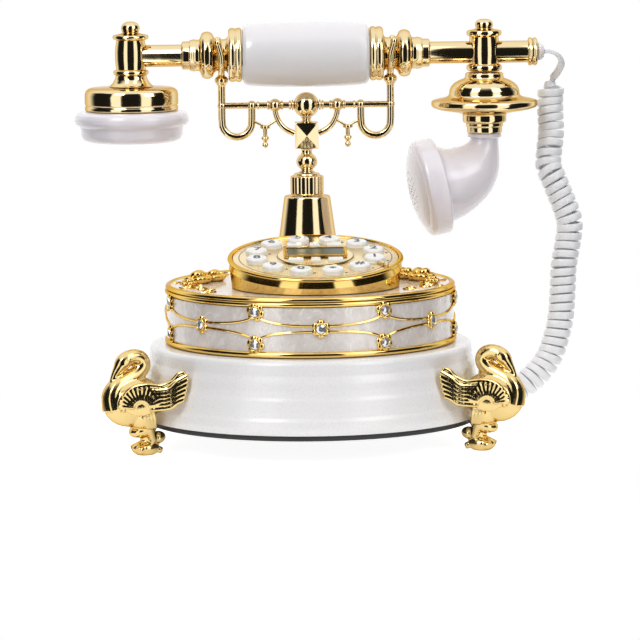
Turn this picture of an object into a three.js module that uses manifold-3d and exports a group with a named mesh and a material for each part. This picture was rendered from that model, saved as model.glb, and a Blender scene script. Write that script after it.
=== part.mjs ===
// Ornamental table telephone with a push-button dial, a spring cradle and a curly handset cord.
// Millimetres, +Z up, the front of the telephone faces -Y.
import * as THREE from 'three';
import { mergeVertices } from 'three/addons/utils/BufferGeometryUtils.js';
import Module from 'manifold-3d';

const wasm = await Module();
wasm.setup();
const { Manifold } = wasm;

// ---------------------------------------------------------------- sizes
const GAP = 0.3;                 // clearance left between neighbouring pieces
const ROUND_L = 36, ROUND_M = 20, ROUND_S = 14, ROUND_XS = 9;   // facets round a turning

const PLATE_BOTTOM = 13, PLATE_THICK = 2.7, PLATE_INSET = 2;
const PLINTH_R = 94, PLINTH_TOP_R = 88.6, PLINTH_H = 39.3, PLINTH_WALL = 9;
const PLATE_R = PLINTH_R - PLATE_INSET;
const PLINTH_Z = PLATE_BOTTOM + PLATE_THICK + GAP;
const PLINTH_TOP = PLINTH_Z + PLINTH_H;

const DRUM_R = 79.8, DRUM_H = 29.8, DRUM_WALL = 5, DRUM_RIM = 2.6, BAND_THICK = 1.6;
const DRUM_Z = PLINTH_TOP + GAP;
const DRUM_TOP = DRUM_Z + DRUM_H;
const TOP_PLATE_R = 79.3, TOP_PLATE_THICK = 2.0;
const TOP_PLATE_Z = DRUM_TOP + GAP;
const DECK = TOP_PLATE_Z + TOP_PLATE_THICK;

const DIAL_X = 2.5, DIAL_Y = -21, DIAL_RISE = 16.3, DIAL_TILT = 9, DIAL_R = 47.9, DIAL_WALL = 3.6;
const DIAL_SHELF = 2.2, DIAL_PLATE_THICK = 1.4, HUB_R = 21, HUB_H = 1.2;
const DIAL_Z = DECK + DIAL_RISE;
const KEY_COUNT = 12, KEY_RING_R = 33, KEY_R = 5.65, KEY_RISE = 2.9, KEY_FLANGE = 0.9;
const KEY_TRAVEL = 1.5, BOARD_THICK = 1.4, BOARD_DEPTH = 7.0;
const BEZEL_W = 34.7, BEZEL_D = 18, BEZEL_Y = 3.6, BEZEL_RISE = 2.6, BEZEL_EDGE = 1.6;
const MENU_X = 10.7, MENU_SIDE_W = 8.2, MENU_MID_W = 5.3;
const MENU_LOW_Y = -11.3, MENU_LOW_D = 5.4, MENU_HIGH_Y = 18.6, MENU_HIGH_D = 6.2;

const CONE_R = 18.4, PILLAR_GAP = 2.2, PILLAR_Y = DIAL_Y + DIAL_R + PILLAR_GAP + CONE_R;
const CONE_TOP_R = 12.7, CONE_H = 43.2, CONE_WALL = 1.8;
const CONE_Z = DECK + GAP, CONE_TOP = CONE_Z + CONE_H;
const COLLAR_R = 9.2, COLLAR_H = 10.8, COLLAR_CAP_R = 7.2, COLLAR_CAP_H = 1.4, FLUTES = 16;
const COLLAR_Z = CONE_TOP + GAP, COLLAR_TOP = COLLAR_Z + COLLAR_H + COLLAR_CAP_H;

const ROD_R = 2.6, STEM_Z = COLLAR_TOP + GAP, STEM_NECK_H = 13.4;
const BLOCK_Z = STEM_Z + STEM_NECK_H + GAP, BLOCK_W = 12.9, BLOCK_H = 14.4, BLOCK_NECK_H = 3.0;
const FORK_BAR_Z = BLOCK_Z + BLOCK_H + BLOCK_NECK_H + GAP + 6.4;
const BALL_R = 7.1, BAR_R = 1.75, ARM_X = 47.1, ARM_R = 2.05, LOOP_X = 30.4, LOOP_DROP = 9.2;
const SWITCH_H = 10, SPRING_BORE = ROD_R + 0.5, SPRING_R = SPRING_BORE + 1.5, SPRING_H = 13.2;

const TUBE_R = 6.1, GROOVE_R = 8.8, SADDLE_R = 1.5;
const SADDLE_LOOP = GROOVE_R + GAP + SADDLE_R;
const AXIS_Z = FORK_BAR_Z + 28.3;                 // handset axis when it lies in the cradle
const GRIP_L = 70.8, GRIP_R = 18.2, GRIP_COLLAR_W = 7.4, GRIP_COLLAR_R = 15;
const CUP_X = 97.4, HORN_X = 99.6;
const DRAWN_AXIS = 208.3;                        // height of the axis in the outlines of the two heads
const BORE_R = TUBE_R + GAP;

const SWAN_ANGLE = 64, SWAN_CUT = 0.5, SWAN_DRAWN_R = 94;   // the swan is drawn against a plinth of this radius
const COIL_R = 7.5, TAIL_R = 1.5;

// ---------------------------------------------------------------- solids
const deg = THREE.MathUtils.degToRad;

function solid(geometry) {
  const g = (geometry.index ? geometry.toNonIndexed() : geometry.clone());
  for (const a of Object.keys(g.attributes)) if (a !== 'position') g.deleteAttribute(a);
  const merged = mergeVertices(g, 1e-4);
  const p = merged.attributes.position.array;
  const tri = [];
  let volume = 0;
  for (let i = 0; i < merged.index.count; i += 3) {
    const [a, b, c] = [0, 1, 2].map((k) => merged.index.array[i + k]);
    if (a === b || b === c || a === c) continue;
    tri.push(a, b, c);
    const [ax, ay, az, bx, by, bz, cx, cy, cz] = [a, b, c].flatMap((v) => [p[3 * v], p[3 * v + 1], p[3 * v + 2]]);
    volume += ax * (by * cz - bz * cy) - ay * (bx * cz - bz * cx) + az * (bx * cy - by * cx);
  }
  if (volume < 0) for (let i = 0; i < tri.length; i += 3) [tri[i], tri[i + 1]] = [tri[i + 1], tri[i]];
  return new Manifold(new wasm.Mesh({
    numProp: 3, vertProperties: new Float32Array(p), triVerts: new Uint32Array(tri) }));
}

function shown(body) {
  const mesh = body.getMesh();
  const g = new THREE.BufferGeometry();
  g.setAttribute('position', new THREE.BufferAttribute(new Float32Array(mesh.vertProperties), 3));
  g.setIndex(new THREE.BufferAttribute(new Uint32Array(mesh.triVerts), 1));
  g.computeVertexNormals();
  return g;
}

const profile = (pairs) => pairs.map(([r, h]) => new THREE.Vector2(r, h));
// A turning: pairs of radius and height, which start and end on the axis or close on themselves.
function turned(pairs, facets = ROUND_M) {
  const points = profile(pairs);
  if (pairs[0][0] > 0) points.push(points[0].clone());
  return solid(new THREE.LatheGeometry(points, facets).rotateX(Math.PI / 2));
}
const turnedX = (pairs, facets) => turned(pairs, facets).rotate([0, 90, 0]);
const box = (w, d, h, x, y, z) => solid(new THREE.BoxGeometry(w, d, h).translate(x, y, z + h / 2));
const rod = (r, h, x, y, z, facets = ROUND_S) =>
  solid(new THREE.CylinderGeometry(r, r, h, facets).rotateX(Math.PI / 2).translate(x, y, z + h / 2));
const ball = (r, x, y, z, facets = ROUND_XS) =>
  solid(new THREE.SphereGeometry(1, facets, Math.round(facets * 0.7))
    .scale(...(Array.isArray(r) ? r : [r, r, r])).translate(x, y, z));
const joined = (list) => list.reduce((a, b) => a.add(b));
const chained = (list) => joined(list.slice(1).map((b, i) => Manifold.hull([list[i], b])));

function bent(points, r, steps, facets = 4) {
  const path = new THREE.CatmullRomCurve3(points.map((p) => new THREE.Vector3(...p)), false, 'centripetal');
  const section = new THREE.Shape().absarc(0, 0, r, 0, Math.PI * 2, false);
  return solid(new THREE.ExtrudeGeometry(section,
    { steps, extrudePath: path, curveSegments: facets, bevelEnabled: false }));
}

function slab(shape, thickness, z, curveSegments = 3) {
  return solid(new THREE.ExtrudeGeometry(shape, { depth: thickness, bevelEnabled: false, curveSegments })
    .translate(0, 0, z));
}

function roundedRect(w, d, r, x = 0, y = 0) {
  const s = new THREE.Shape();
  s.moveTo(x - w / 2 + r, y - d / 2).lineTo(x + w / 2 - r, y - d / 2);
  s.quadraticCurveTo(x + w / 2, y - d / 2, x + w / 2, y - d / 2 + r).lineTo(x + w / 2, y + d / 2 - r);
  s.quadraticCurveTo(x + w / 2, y + d / 2, x + w / 2 - r, y + d / 2).lineTo(x - w / 2 + r, y + d / 2);
  s.quadraticCurveTo(x - w / 2, y + d / 2, x - w / 2, y + d / 2 - r).lineTo(x - w / 2, y - d / 2 + r);
  s.quadraticCurveTo(x - w / 2, y - d / 2, x - w / 2 + r, y - d / 2);
  return s;
}

// ---------------------------------------------------------------- materials
const finish = (color, roughness, metalness) => () =>
  new THREE.MeshStandardMaterial({ color, roughness, metalness });
const gold = finish(0xd9ac4e, 0.12, 1);
const satinGold = finish(0xd8bc78, 0.35, 1);
const ivory = finish(0xf0ecef, 0.3, 0);
const pearl = finish(0xe8e0de, 0.35, 0.05);
const black = finish(0x2a2a2c, 0.6, 0);
const glass = finish(0x2c3020, 0.1, 0);
const green = finish(0x2f6b45, 0.5, 0);
const steel = finish(0xb8bcc0, 0.3, 1);
const clear = finish(0xe9e7ec, 0.25, 0);
const cordWhite = finish(0xd9d9dc, 0.45, 0);

const group = new THREE.Group();
group.name = 'telephone';
const cordNames = [];
function add(name, body, material, parent = group) {
  const mesh = new THREE.Mesh(shown(body), material());
  mesh.name = name;
  parent.add(mesh);
  return mesh;
}

// ---------------------------------------------------------------- plinth
const plateTop = PLATE_BOTTOM + PLATE_THICK;
add('base_plate', turned([[0, PLATE_BOTTOM], [PLATE_R, PLATE_BOTTOM], [PLATE_R, plateTop], [0, plateTop]], ROUND_L),
  black);

// Outline of the plinth, from its foot up: three soft steps and a rounded shoulder.
const step1 = PLINTH_R - 1.4, step2 = PLINTH_TOP_R + 2.0, step3 = PLINTH_TOP_R + 1.0;
function plinthProfile(grow) {
  const z = PLINTH_Z;
  return [[PLINTH_R + grow, z - grow], [PLINTH_R + grow, z + 7.5], [step1 + grow, z + 9.5],
    [step1 - 0.6 + grow, z + 18], [step2 + grow, z + 20.5], [step2 - 0.4 + grow, z + 27],
    [step3 + grow, z + 29.5], [PLINTH_TOP_R + grow, z + 31], [PLINTH_TOP_R + grow, PLINTH_TOP - 2.6],
    [PLINTH_TOP_R - 0.9 + grow, PLINTH_TOP - 0.8], [PLINTH_TOP_R - 2.8 + grow, PLINTH_TOP + grow]];
}
const inside = PLINTH_TOP_R - PLINTH_WALL + 4;
const JACK_Z = 22.6, JACK_ANGLE = 115, PLUG_ANGLE = 17.5, PLUG_Z = 20;
const JACK_W = 14, JACK_H = 12, JACK_DEPTH = 14, SOCKET_W = 9.6, SOCKET_H = 7.4, SOCKET_DEPTH = 9;
const PLUG_W = 7.6, PLUG_H = 6.6, PLUG_L = 15;
const jackHole = box(40, JACK_W + 2 * GAP, JACK_H + 2 * GAP, PLINTH_R, 0, JACK_Z - JACK_H / 2 - GAP);
const plugHole = box(40, PLUG_W + 2 * GAP, PLUG_H + 2 * GAP, PLINTH_R, 0, PLUG_Z - PLUG_H / 2 - GAP);
add('plinth_shell', turned([[0, PLINTH_TOP - 5], [inside, PLINTH_TOP - 5], [inside, PLINTH_Z],
  ...plinthProfile(0), [0, PLINTH_TOP]], ROUND_L)
  .subtract(jackHole.rotate([0, 0, JACK_ANGLE])).subtract(plugHole.rotate([0, 0, PLUG_ANGLE])), ivory);

const jack = box(JACK_DEPTH, JACK_W, JACK_H, PLINTH_R - JACK_DEPTH / 2 - 0.6, 0, JACK_Z - JACK_H / 2)
  .subtract(box(2 * SOCKET_DEPTH, SOCKET_W, SOCKET_H, PLINTH_R - 0.6, 0, JACK_Z - SOCKET_H / 2))
  .subtract(box(2 * SOCKET_DEPTH, SOCKET_W / 3, 1.6, PLINTH_R - 0.6, 0, JACK_Z - SOCKET_H / 2 - 1.6));
add('line_jack', jack.rotate([0, 0, JACK_ANGLE]), black);

const board = [box(90, 60, BOARD_THICK, 0, -14, 18.5)];
for (const x of [-40, 40]) for (const y of [-39, 11]) board.push(rod(2.2, 2.6, x, y, plateTop + GAP, 8));
add('main_board', joined(board), green);
add('ringer_speaker', turned([[0, 0], [22, 0], [22, 2.2], [12, 8], [12, 13], [0, 13]], ROUND_S)
  .translate([0, 44, plateTop + GAP]), steel);

// ---------------------------------------------------------------- swan feet
// Each casting is drawn with its breast along +X and set round the plinth afterwards.
function swan() {
  const neck = [[7.0, 118.6, 29], [5.9, 119.0, 35.4], [4.9, 113.2, 40.0], [4.6, 106.2, 43.8],
    [4.4, 102.3, 48.4], [4.3, 104.2, 52.2], [4.2, 109.6, 52.8], [4.1, 114.6, 50.6]];
  const bill = [[3.6, 115.2, 49.8], [2.2, 118.4, 45.4], [1.3, 120.9, 41.2]];
  const beads = (list, f) => chained(list.map(([r, u, z]) => ball(r, u, 0, z, f)));
  const outline = [[0, 28.9], [2.4, 35.1], [7.1, 38.5], [13.9, 39.9], [21.6, 39.3], [28.1, 42.5],
    [31.4, 46], [35.2, 46.7], [37.7, 43.6], [37.5, 39.2], [35.2, 33.7], [29.4, 28.9], [22.6, 24.8],
    [17.2, 24.5], [11.8, 24.0], [5.1, 23.5], [1, 24.8]];
  const wingShape = new THREE.Shape(outline.map(([s, z]) => new THREE.Vector2(s, z)));
  // The wing's plate runs back from the shoulder and lies along the plinth.
  const wing = solid(new THREE.ExtrudeGeometry(wingShape, { depth: 3.2, bevelEnabled: false })
    .rotateX(Math.PI / 2).translate(0, 1.6, 0)).rotate([0, 0, 147.8]).translate([118.6, 7.6, 0]);
  const leg = [
    ball([7.6, 12.4, 8.2], 104.2, 0, 22.4),
    chained([ball([8, 6.5, 3.6], 101.5, 0, 12.6, ROUND_XS), ball([5, 4.6, 3], 98.5, 0, 8)]),
    chained([ball([4.8, 4.6, 3.5], 97.5, 0, 6.5), box(8, 11, 1.2, 88, 0, PLATE_BOTTOM - GAP - 1.2)]),
    ball([8.4, 7.4, 5.0], 100.4, 0, 3.4, 10),
  ];
  const whole = joined([ball([17, 10.4, 14], 108.5, 0, 29.5, 10), beads(neck, 7), beads(bill, 6),
    wing, wing.mirror([0, 1, 0]), ...leg]);
  const plinth = turned([[0, PLATE_BOTTOM - GAP], [PLATE_R + SWAN_CUT, PLATE_BOTTOM - GAP],
    [PLINTH_R + SWAN_CUT, PLINTH_Z - SWAN_CUT], ...plinthProfile(SWAN_CUT).slice(1), [0, PLINTH_TOP + SWAN_CUT]],
  ROUND_L);
  return whole.translate([PLINTH_R - SWAN_DRAWN_R, 0, 0]).subtract(plinth).subtract(box(300, 300, 20, 0, 0, -20)).simplify(0.25);
}
const oneSwan = swan();
add('swan_foot_left', oneSwan.rotate([0, 0, -90 - SWAN_ANGLE]), gold);
add('swan_foot_right', oneSwan.rotate([0, 0, -90 + SWAN_ANGLE]), gold);
add('swan_foot_rear', oneSwan.rotate([0, 0, 90]), gold);

// ---------------------------------------------------------------- drum
const rimTop = DRUM_TOP - DRUM_RIM, seat = DRUM_R - 2.5;
add('drum_casting', turned([[DRUM_R - DRUM_WALL, DRUM_Z], [DRUM_R - 0.6, DRUM_Z], [DRUM_R, DRUM_Z + 0.8],
  [DRUM_R, DRUM_Z + DRUM_RIM - 0.6], [DRUM_R - 0.7, DRUM_Z + DRUM_RIM], [seat, DRUM_Z + DRUM_RIM], [seat, rimTop],
  [DRUM_R - 0.7, rimTop], [DRUM_R, rimTop + 0.6], [DRUM_R, DRUM_TOP - 0.8], [DRUM_R - 0.8, DRUM_TOP],
  [DRUM_R - DRUM_WALL, DRUM_TOP]], ROUND_L), gold);
const bandIn = seat + GAP, bandOut = bandIn + BAND_THICK - GAP;
const bandLow = DRUM_Z + DRUM_RIM + GAP, bandHigh = rimTop - GAP;
add('enamel_band', turned([[bandIn, bandLow], [bandOut, bandLow], [bandOut, bandHigh], [bandIn, bandHigh]], ROUND_L),
  pearl);
// The deck carries two cast roses, which stand at either side of the dial.
const roses = [-1, 1].flatMap((side) => [ball([7.4, 7.8, 6.2], side * (DIAL_R + 13.6), 3, DECK, 9),
  ball([6.0, 7.0, 6.6], side * (DIAL_R + 4.7), 14, DECK, 9)]);
add('drum_top_plate', joined([turned([[0, TOP_PLATE_Z], [TOP_PLATE_R, TOP_PLATE_Z], [TOP_PLATE_R, DECK - 0.9],
  [TOP_PLATE_R - 1.2, DECK], [0, DECK]], ROUND_L), ...roses])
  .subtract(box(200, 200, 40, 0, 0, TOP_PLATE_Z - 40)), pearl);

// ---------------------------------------------------------------- dial
const dial = new THREE.Group();
dial.position.set(DIAL_X, DIAL_Y, DIAL_Z);
dial.rotation.x = deg(DIAL_TILT);
group.add(dial);

const innerR = DIAL_R - DIAL_WALL - 1.3;
const housing = turned([[innerR, -30], [DIAL_R - 2.8, -30], [DIAL_R - 1.3, -3.0], [DIAL_R, -2.0], [DIAL_R, -0.8],
  [DIAL_R - 0.8, 0], [DIAL_R - 2.7, 0], [DIAL_R - 2.7, -DIAL_SHELF], [innerR, -DIAL_SHELF]], ROUND_L)
  .rotate([DIAL_TILT, 0, 0]).translate([DIAL_X, DIAL_Y, DIAL_Z])
  .subtract(box(300, 300, 60, 0, 0, DECK + GAP - 60));
add('dial_housing', housing, gold);

const plateLow = -DIAL_SHELF + GAP, plateHigh = plateLow + DIAL_PLATE_THICK;
const dialPlateR = DIAL_R - 2.7 - GAP;
const keyAngles = [...Array(KEY_COUNT).keys()].map((i) => -15 + i * (360 / KEY_COUNT));
const keySpots = keyAngles.map((a) => [KEY_RING_R * Math.cos(deg(a)), KEY_RING_R * Math.sin(deg(a))]);
const menuSpots = [MENU_HIGH_Y, MENU_LOW_Y].flatMap((y) => [-MENU_X, 0, MENU_X].map((x) =>
  ({ x, y, w: x ? MENU_SIDE_W : MENU_MID_W, d: y > 0 ? MENU_HIGH_D : MENU_LOW_D })));

const stopFrom = [44.2, -30], stopTo = [30.6, -12];
const spot = ([r, a]) => new THREE.Vector2(r * Math.cos(deg(a)), r * Math.sin(deg(a)));
const run = spot(stopTo).sub(spot(stopFrom));
const fingerStop = box(run.length(), 1.7, 1.1 + 0.4, run.length() / 2, 0, plateHigh - 0.4)
  .rotate([0, 0, THREE.MathUtils.radToDeg(Math.atan2(run.y, run.x))])
  .translate([spot(stopFrom).x, spot(stopFrom).y, 0]);
let plate = joined([rod(dialPlateR, DIAL_PLATE_THICK, 0, 0, plateLow, ROUND_L),
  rod(HUB_R, HUB_H + 0.5, 0, 0, plateHigh - 0.5, ROUND_M), fingerStop]);
for (const [x, y] of keySpots) plate = plate.subtract(rod(KEY_R + GAP + 0.3, 8, x, y, -5, 12));
for (const m of menuSpots) plate = plate.subtract(box(m.w + 2 * GAP, m.d + 2 * GAP, 8, m.x, m.y, -5));
const bezelLow = plateHigh + HUB_H + GAP, bezelHigh = plateHigh + BEZEL_RISE;
add('dial_plate', plate, satinGold, dial);

const frameShape = roundedRect(BEZEL_W, BEZEL_D, 1.2, 0, BEZEL_Y);
frameShape.holes.push(roundedRect(BEZEL_W - 2 * BEZEL_EDGE, BEZEL_D - 2 * BEZEL_EDGE, 0.6, 0, BEZEL_Y));
add('display_bezel', slab(frameShape, bezelHigh - bezelLow, bezelLow, 2), gold, dial);
add('display_glass', box(BEZEL_W - 2 * BEZEL_EDGE - 3 * GAP, BEZEL_D - 2 * BEZEL_EDGE - 3 * GAP, 0.7,
  0, BEZEL_Y, bezelLow), glass, dial);

const keyHigh = plateHigh + KEY_RISE, flangeHigh = plateLow - GAP;
const stemLow = -BOARD_DEPTH + GAP + KEY_TRAVEL;
const keyBody = turned([[0, stemLow], [2, stemLow], [2, flangeHigh - KEY_FLANGE],
  [KEY_R + 0.8, flangeHigh - KEY_FLANGE], [KEY_R + 0.8, flangeHigh], [KEY_R, flangeHigh], [KEY_R, keyHigh - 0.9],
  [KEY_R - 0.9, keyHigh - 0.1], [0, keyHigh]], 12);
const keyNames = ['key_1', 'key_2', 'key_3', 'key_4', 'key_5', 'key_6', 'key_7', 'key_8', 'key_9', 'key_0',
  'key_star', 'key_hash'];
keySpots.forEach(([x, y], i) => add(keyNames[i], keyBody.translate([x, y, 0]), clear, dial));

const menuNames = ['menu_rear_left', 'menu_rear_middle', 'menu_rear_right', 'menu_front_left', 'menu_front_middle',
  'menu_front_right'];
menuSpots.forEach((m, i) => {
  const high = plateHigh + (m.y > 0 ? KEY_RISE : HUB_H + 1.4);
  add(menuNames[i], joined([slab(roundedRect(m.w, m.d, 0.7, m.x, m.y), high - flangeHigh + 0.5, flangeHigh - 0.5, 1),
    box(m.w + 1.2, m.d + 1.2, KEY_FLANGE, m.x, m.y, flangeHigh - KEY_FLANGE),
    box(3, 3, 3, m.x, m.y, stemLow)]), clear, dial);
});
add('keypad_board', rod(innerR - 1.5, BOARD_THICK, 0, 0, -BOARD_DEPTH - BOARD_THICK, ROUND_S), green, dial);

// ---------------------------------------------------------------- pillar and cradle
const bore = ROD_R + 1.5 * GAP;
const at = (body) => body.translate([0, PILLAR_Y, 0]);
add('pillar_cone', at(turned([[CONE_R - CONE_WALL, CONE_Z], [CONE_R, CONE_Z], [CONE_TOP_R, CONE_TOP - 0.6],
  [CONE_TOP_R - 0.6, CONE_TOP], [bore, CONE_TOP], [bore, CONE_TOP - 2.4], [CONE_TOP_R - CONE_WALL, CONE_TOP - 2.4]])),
gold);

const flutes = new THREE.Shape();
const lobe = Math.PI / FLUTES;
flutes.moveTo(COLLAR_R * 0.955, 0);
for (let i = 0; i < FLUTES; i++) {
  const tip = 2 * i * lobe + lobe, next = 2 * (i + 1) * lobe, reach = COLLAR_R * 1.045;
  flutes.quadraticCurveTo(reach * Math.cos(tip), reach * Math.sin(tip),
    COLLAR_R * 0.955 * Math.cos(next), COLLAR_R * 0.955 * Math.sin(next));
}
add('pillar_collar', at(joined([slab(flutes, COLLAR_H, COLLAR_Z, 2),
  rod(COLLAR_CAP_R, COLLAR_CAP_H + 0.5, 0, 0, COLLAR_Z + COLLAR_H - 0.5, ROUND_S)])
  .subtract(rod(bore, 40, 0, 0, COLLAR_Z - 10, ROUND_XS))), gold);

const switchTop = CONE_Z + GAP + SWITCH_H;
add('hook_switch', at(box(14, 12, SWITCH_H, 0, 0, CONE_Z + GAP)), black);
const springLow = switchTop + GAP, springHigh = springLow + SPRING_H, rodLow = switchTop + GAP;
add('hook_spring', at(turned([[SPRING_BORE, springLow], [SPRING_R, springLow], [SPRING_R, springHigh],
  [SPRING_BORE, springHigh]], ROUND_XS)), steel);
const s = STEM_Z;
add('cradle_stem', at(turned([[0, rodLow], [ROD_R, rodLow], [ROD_R, springHigh + GAP], [SPRING_R + 0.6, springHigh + GAP],
  [SPRING_R + 0.6, springHigh + GAP + 1.6], [ROD_R, springHigh + GAP + 1.6], [ROD_R, s], [4.5, s], [3.3, s + 1.0],
  [3.3, s + 1.9], [4.5, s + 2.9], [5.8, s + 4.8], [5.8, s + 7.4], [4.6, s + 9.5], [2.9, s + 10.5],
  [2.9, s + STEM_NECK_H - 0.7], [3.6, s + STEM_NECK_H], [0, s + STEM_NECK_H]], 12)), gold);

const half = BLOCK_W / 2, mid = BLOCK_Z + BLOCK_H / 2, point = 2.6;
const core = new THREE.BoxGeometry(BLOCK_W, BLOCK_W, BLOCK_H).translate(0, 0, mid);
const studs = [0, 180].map((a) => solid(new THREE.CylinderGeometry(0.02, Math.SQRT1_2, 1, 4, 1)
  .rotateY(Math.PI / 4).scale(BLOCK_W * 0.94, point, BLOCK_H * 0.94).translate(0, half + point / 2 - 0.15, 0))
  .rotate([0, 0, a]).translate([0, 0, mid]));
const blockTop = BLOCK_Z + BLOCK_H;
const blockNeckTop = blockTop + BLOCK_NECK_H;
add('cradle_block', at(joined([solid(core), ...studs, turned([[0, blockTop - 1], [3.4, blockTop - 1],
  [3.4, blockTop + 0.4], [2.4, blockTop + 1.2], [2.4, blockNeckTop - 0.9], [3.2, blockNeckTop],
  [0, blockNeckTop]], ROUND_XS)])), gold);

// The fork: a bar with a ball in its middle, and at each side a loop, a scroll, a drop and a saddle.
const barZ = FORK_BAR_Z;
const forkSide = (k) => {
  const loopZ = barZ - LOOP_DROP, loopR = (ARM_X - LOOP_X) / 2, loopX = (ARM_X + LOOP_X) / 2;
  const loop = [[ARM_X, 0, AXIS_Z - SADDLE_LOOP], [ARM_X, 0, barZ + 4], [ARM_X, 0, loopZ + 2]];
  for (let a = 0; a <= 180; a += 22.5)
    loop.push([loopX + loopR * Math.cos(deg(a)), 0, loopZ - loopR * Math.sin(deg(a))]);
  loop.push([LOOP_X, 0, loopZ + 2], [LOOP_X, 0, barZ]);
  const saddle = [[ARM_X + 1.6, -SADDLE_LOOP - 0.9, AXIS_Z + 7.2], [ARM_X + 0.8, -SADDLE_LOOP - 0.3, AXIS_Z + 3.5]];
  for (let a = 0; a <= 180; a += 22.5)
    saddle.push([ARM_X, -SADDLE_LOOP * Math.cos(deg(a)), AXIS_Z - SADDLE_LOOP * Math.sin(deg(a))]);
  saddle.push([ARM_X + 0.8, SADDLE_LOOP + 0.3, AXIS_Z + 3.5], [ARM_X + 1.6, SADDLE_LOOP + 0.9, AXIS_Z + 7.2]);
  const dropX = 23.1, dropZ = barZ - 11.9;
  const pieces = [
    bent(loop, ARM_R, 18),
    bent(saddle, SADDLE_R, 14, 3),
    turned([[0, -5.6], [ARM_R, -5.6], [3.8, -2.2], [3.8, -0.6], [2.4, 0.8], [0, 0.8]], ROUND_XS)
      .translate([ARM_X, 0, AXIS_Z - SADDLE_LOOP - 1.6]),
    solid(new THREE.CylinderGeometry(BAR_R, BAR_R, ARM_X - 3, 8).rotateZ(Math.PI / 2)
      .translate((ARM_X + 3) / 2, 0, barZ)),
    ball(2.7, LOOP_X, 0, barZ, 8),
    ball(3.7, 17.4, 0, barZ, 8),
    turnedX([[0, 7.6], [2.7, 7.6], [2.7, 9.4], [0, 9.4]], 7).translate([0, 0, barZ]),
    turnedX([[0, 13.0], [2.5, 13.0], [2.5, 14.2], [0, 14.2]], 7).translate([0, 0, barZ]),
    turnedX([[0, 20.6], [2.5, 20.6], [2.5, 21.8], [0, 21.8]], 7).translate([0, 0, barZ]),
    bent([[17.4, 0, barZ - 1], [17.0, 0, barZ - 5], [15.2, 0, barZ - 9.5], [12, 0, barZ - 13.2],
      [half + GAP + 0.1, 0, barZ - 16]], 1.6, 5, 3),
    bent([[LOOP_X, 0, barZ - 8.4], [26.4, 0, barZ - 10.4], [dropX, 0, dropZ], [19.8, 0, barZ - 10.4],
      [16.6, 0, barZ - 8.4]], 0.75, 4, 2),
    turned([[0, -11.9], [1.3, -11.6], [1.75, -10.2], [1.3, -9.0], [0.8, -8.6], [2.3, -6.4], [1.2, -5.2], [1.2, -1.4],
      [2.8, -0.9], [2.8, 0.3], [0, 0.6]], 6).translate([dropX, 0, dropZ]),
  ];
  const side = joined(pieces);
  return k > 0 ? side : side.mirror([1, 0, 0]);
};
add('cradle_fork', at(joined([ball(BALL_R, 0, 0, barZ, 12), forkSide(1), forkSide(-1)])
  .subtract(rod(12, 20, 0, 0, blockNeckTop + GAP - 20, 8))
  .subtract(box(BLOCK_W + 2 * GAP, BLOCK_W + 2 * GAP, BLOCK_H + 2, 0, 0, BLOCK_Z)).simplify(0.08)), gold);

// ---------------------------------------------------------------- handset
const handset = new THREE.Group();
handset.position.set(0, PILLAR_Y, AXIS_Z);
group.add(handset);
const onHandset = (name, body, material) => add(name, body, material, handset);

const gripEnd = GRIP_L / 2, collarFrom = gripEnd + GAP, collarTo = collarFrom + GRIP_COLLAR_W;
onHandset('grip', turnedX([[BORE_R, -gripEnd], [GRIP_R - 4.2, -gripEnd], [GRIP_R - 1.4, -gripEnd + 1.4],
  [GRIP_R - 0.7, -gripEnd + 5], [GRIP_R, -10], [GRIP_R, 10], [GRIP_R - 0.7, gripEnd - 5],
  [GRIP_R - 1.4, gripEnd - 1.4], [GRIP_R - 4.2, gripEnd], [BORE_R, gripEnd]], ROUND_M), ivory);
const collarShape = [[BORE_R, collarFrom], [GRIP_COLLAR_R - 0.5, collarFrom], [GRIP_COLLAR_R, collarFrom + 0.5],
  [GRIP_COLLAR_R, collarTo - 0.8], [GRIP_COLLAR_R - 0.8, collarTo], [BORE_R, collarTo]];
onHandset('grip_collar_left', turnedX(collarShape, ROUND_M).mirror([1, 0, 0]), gold);
onHandset('grip_collar_right', turnedX(collarShape, ROUND_M), gold);

const tubeShape = [[0, GAP / 2], [TUBE_R, GAP / 2], [TUBE_R, collarTo + GAP], [10.6, collarTo + GAP], [10.3, 43.6],
  [9.4, 44], [GROOVE_R, 45.0], [GROOVE_R, 49.8], [10.4, 51.2], [12.4, 52.2], [13.1, 54.2], [13.1, 55.8], [12.2, 57.8],
  [9.6, 58.8], [8.7, 59.4], [8.7, 64.2], [7.8, 64.9], [7.8, 68.6], [TUBE_R, 69.2]];
onHandset('ear_tube', turnedX([...tubeShape, [TUBE_R, CUP_X], [0, CUP_X]], ROUND_S).mirror([1, 0, 0]), gold);
const tubeEnd = HORN_X + 29.7, glandFrom = tubeEnd + GAP, glandTo = glandFrom + 3.4;
onHandset('mouth_tube', turnedX([...tubeShape, [TUBE_R, tubeEnd - 5.3], [7.8, tubeEnd - 4.9], [7.8, tubeEnd - 3.3],
  [7.0, tubeEnd - 2.7], [7.8, tubeEnd - 2.1], [7.8, tubeEnd - 0.7], [6.6, tubeEnd], [0, tubeEnd]], ROUND_S), gold);
onHandset('cord_gland', turnedX([[0, glandFrom], [5.0, glandFrom], [5.0, glandFrom + 1.8], [3.6, glandTo],
  [0, glandTo]], ROUND_XS), cordWhite);

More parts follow.
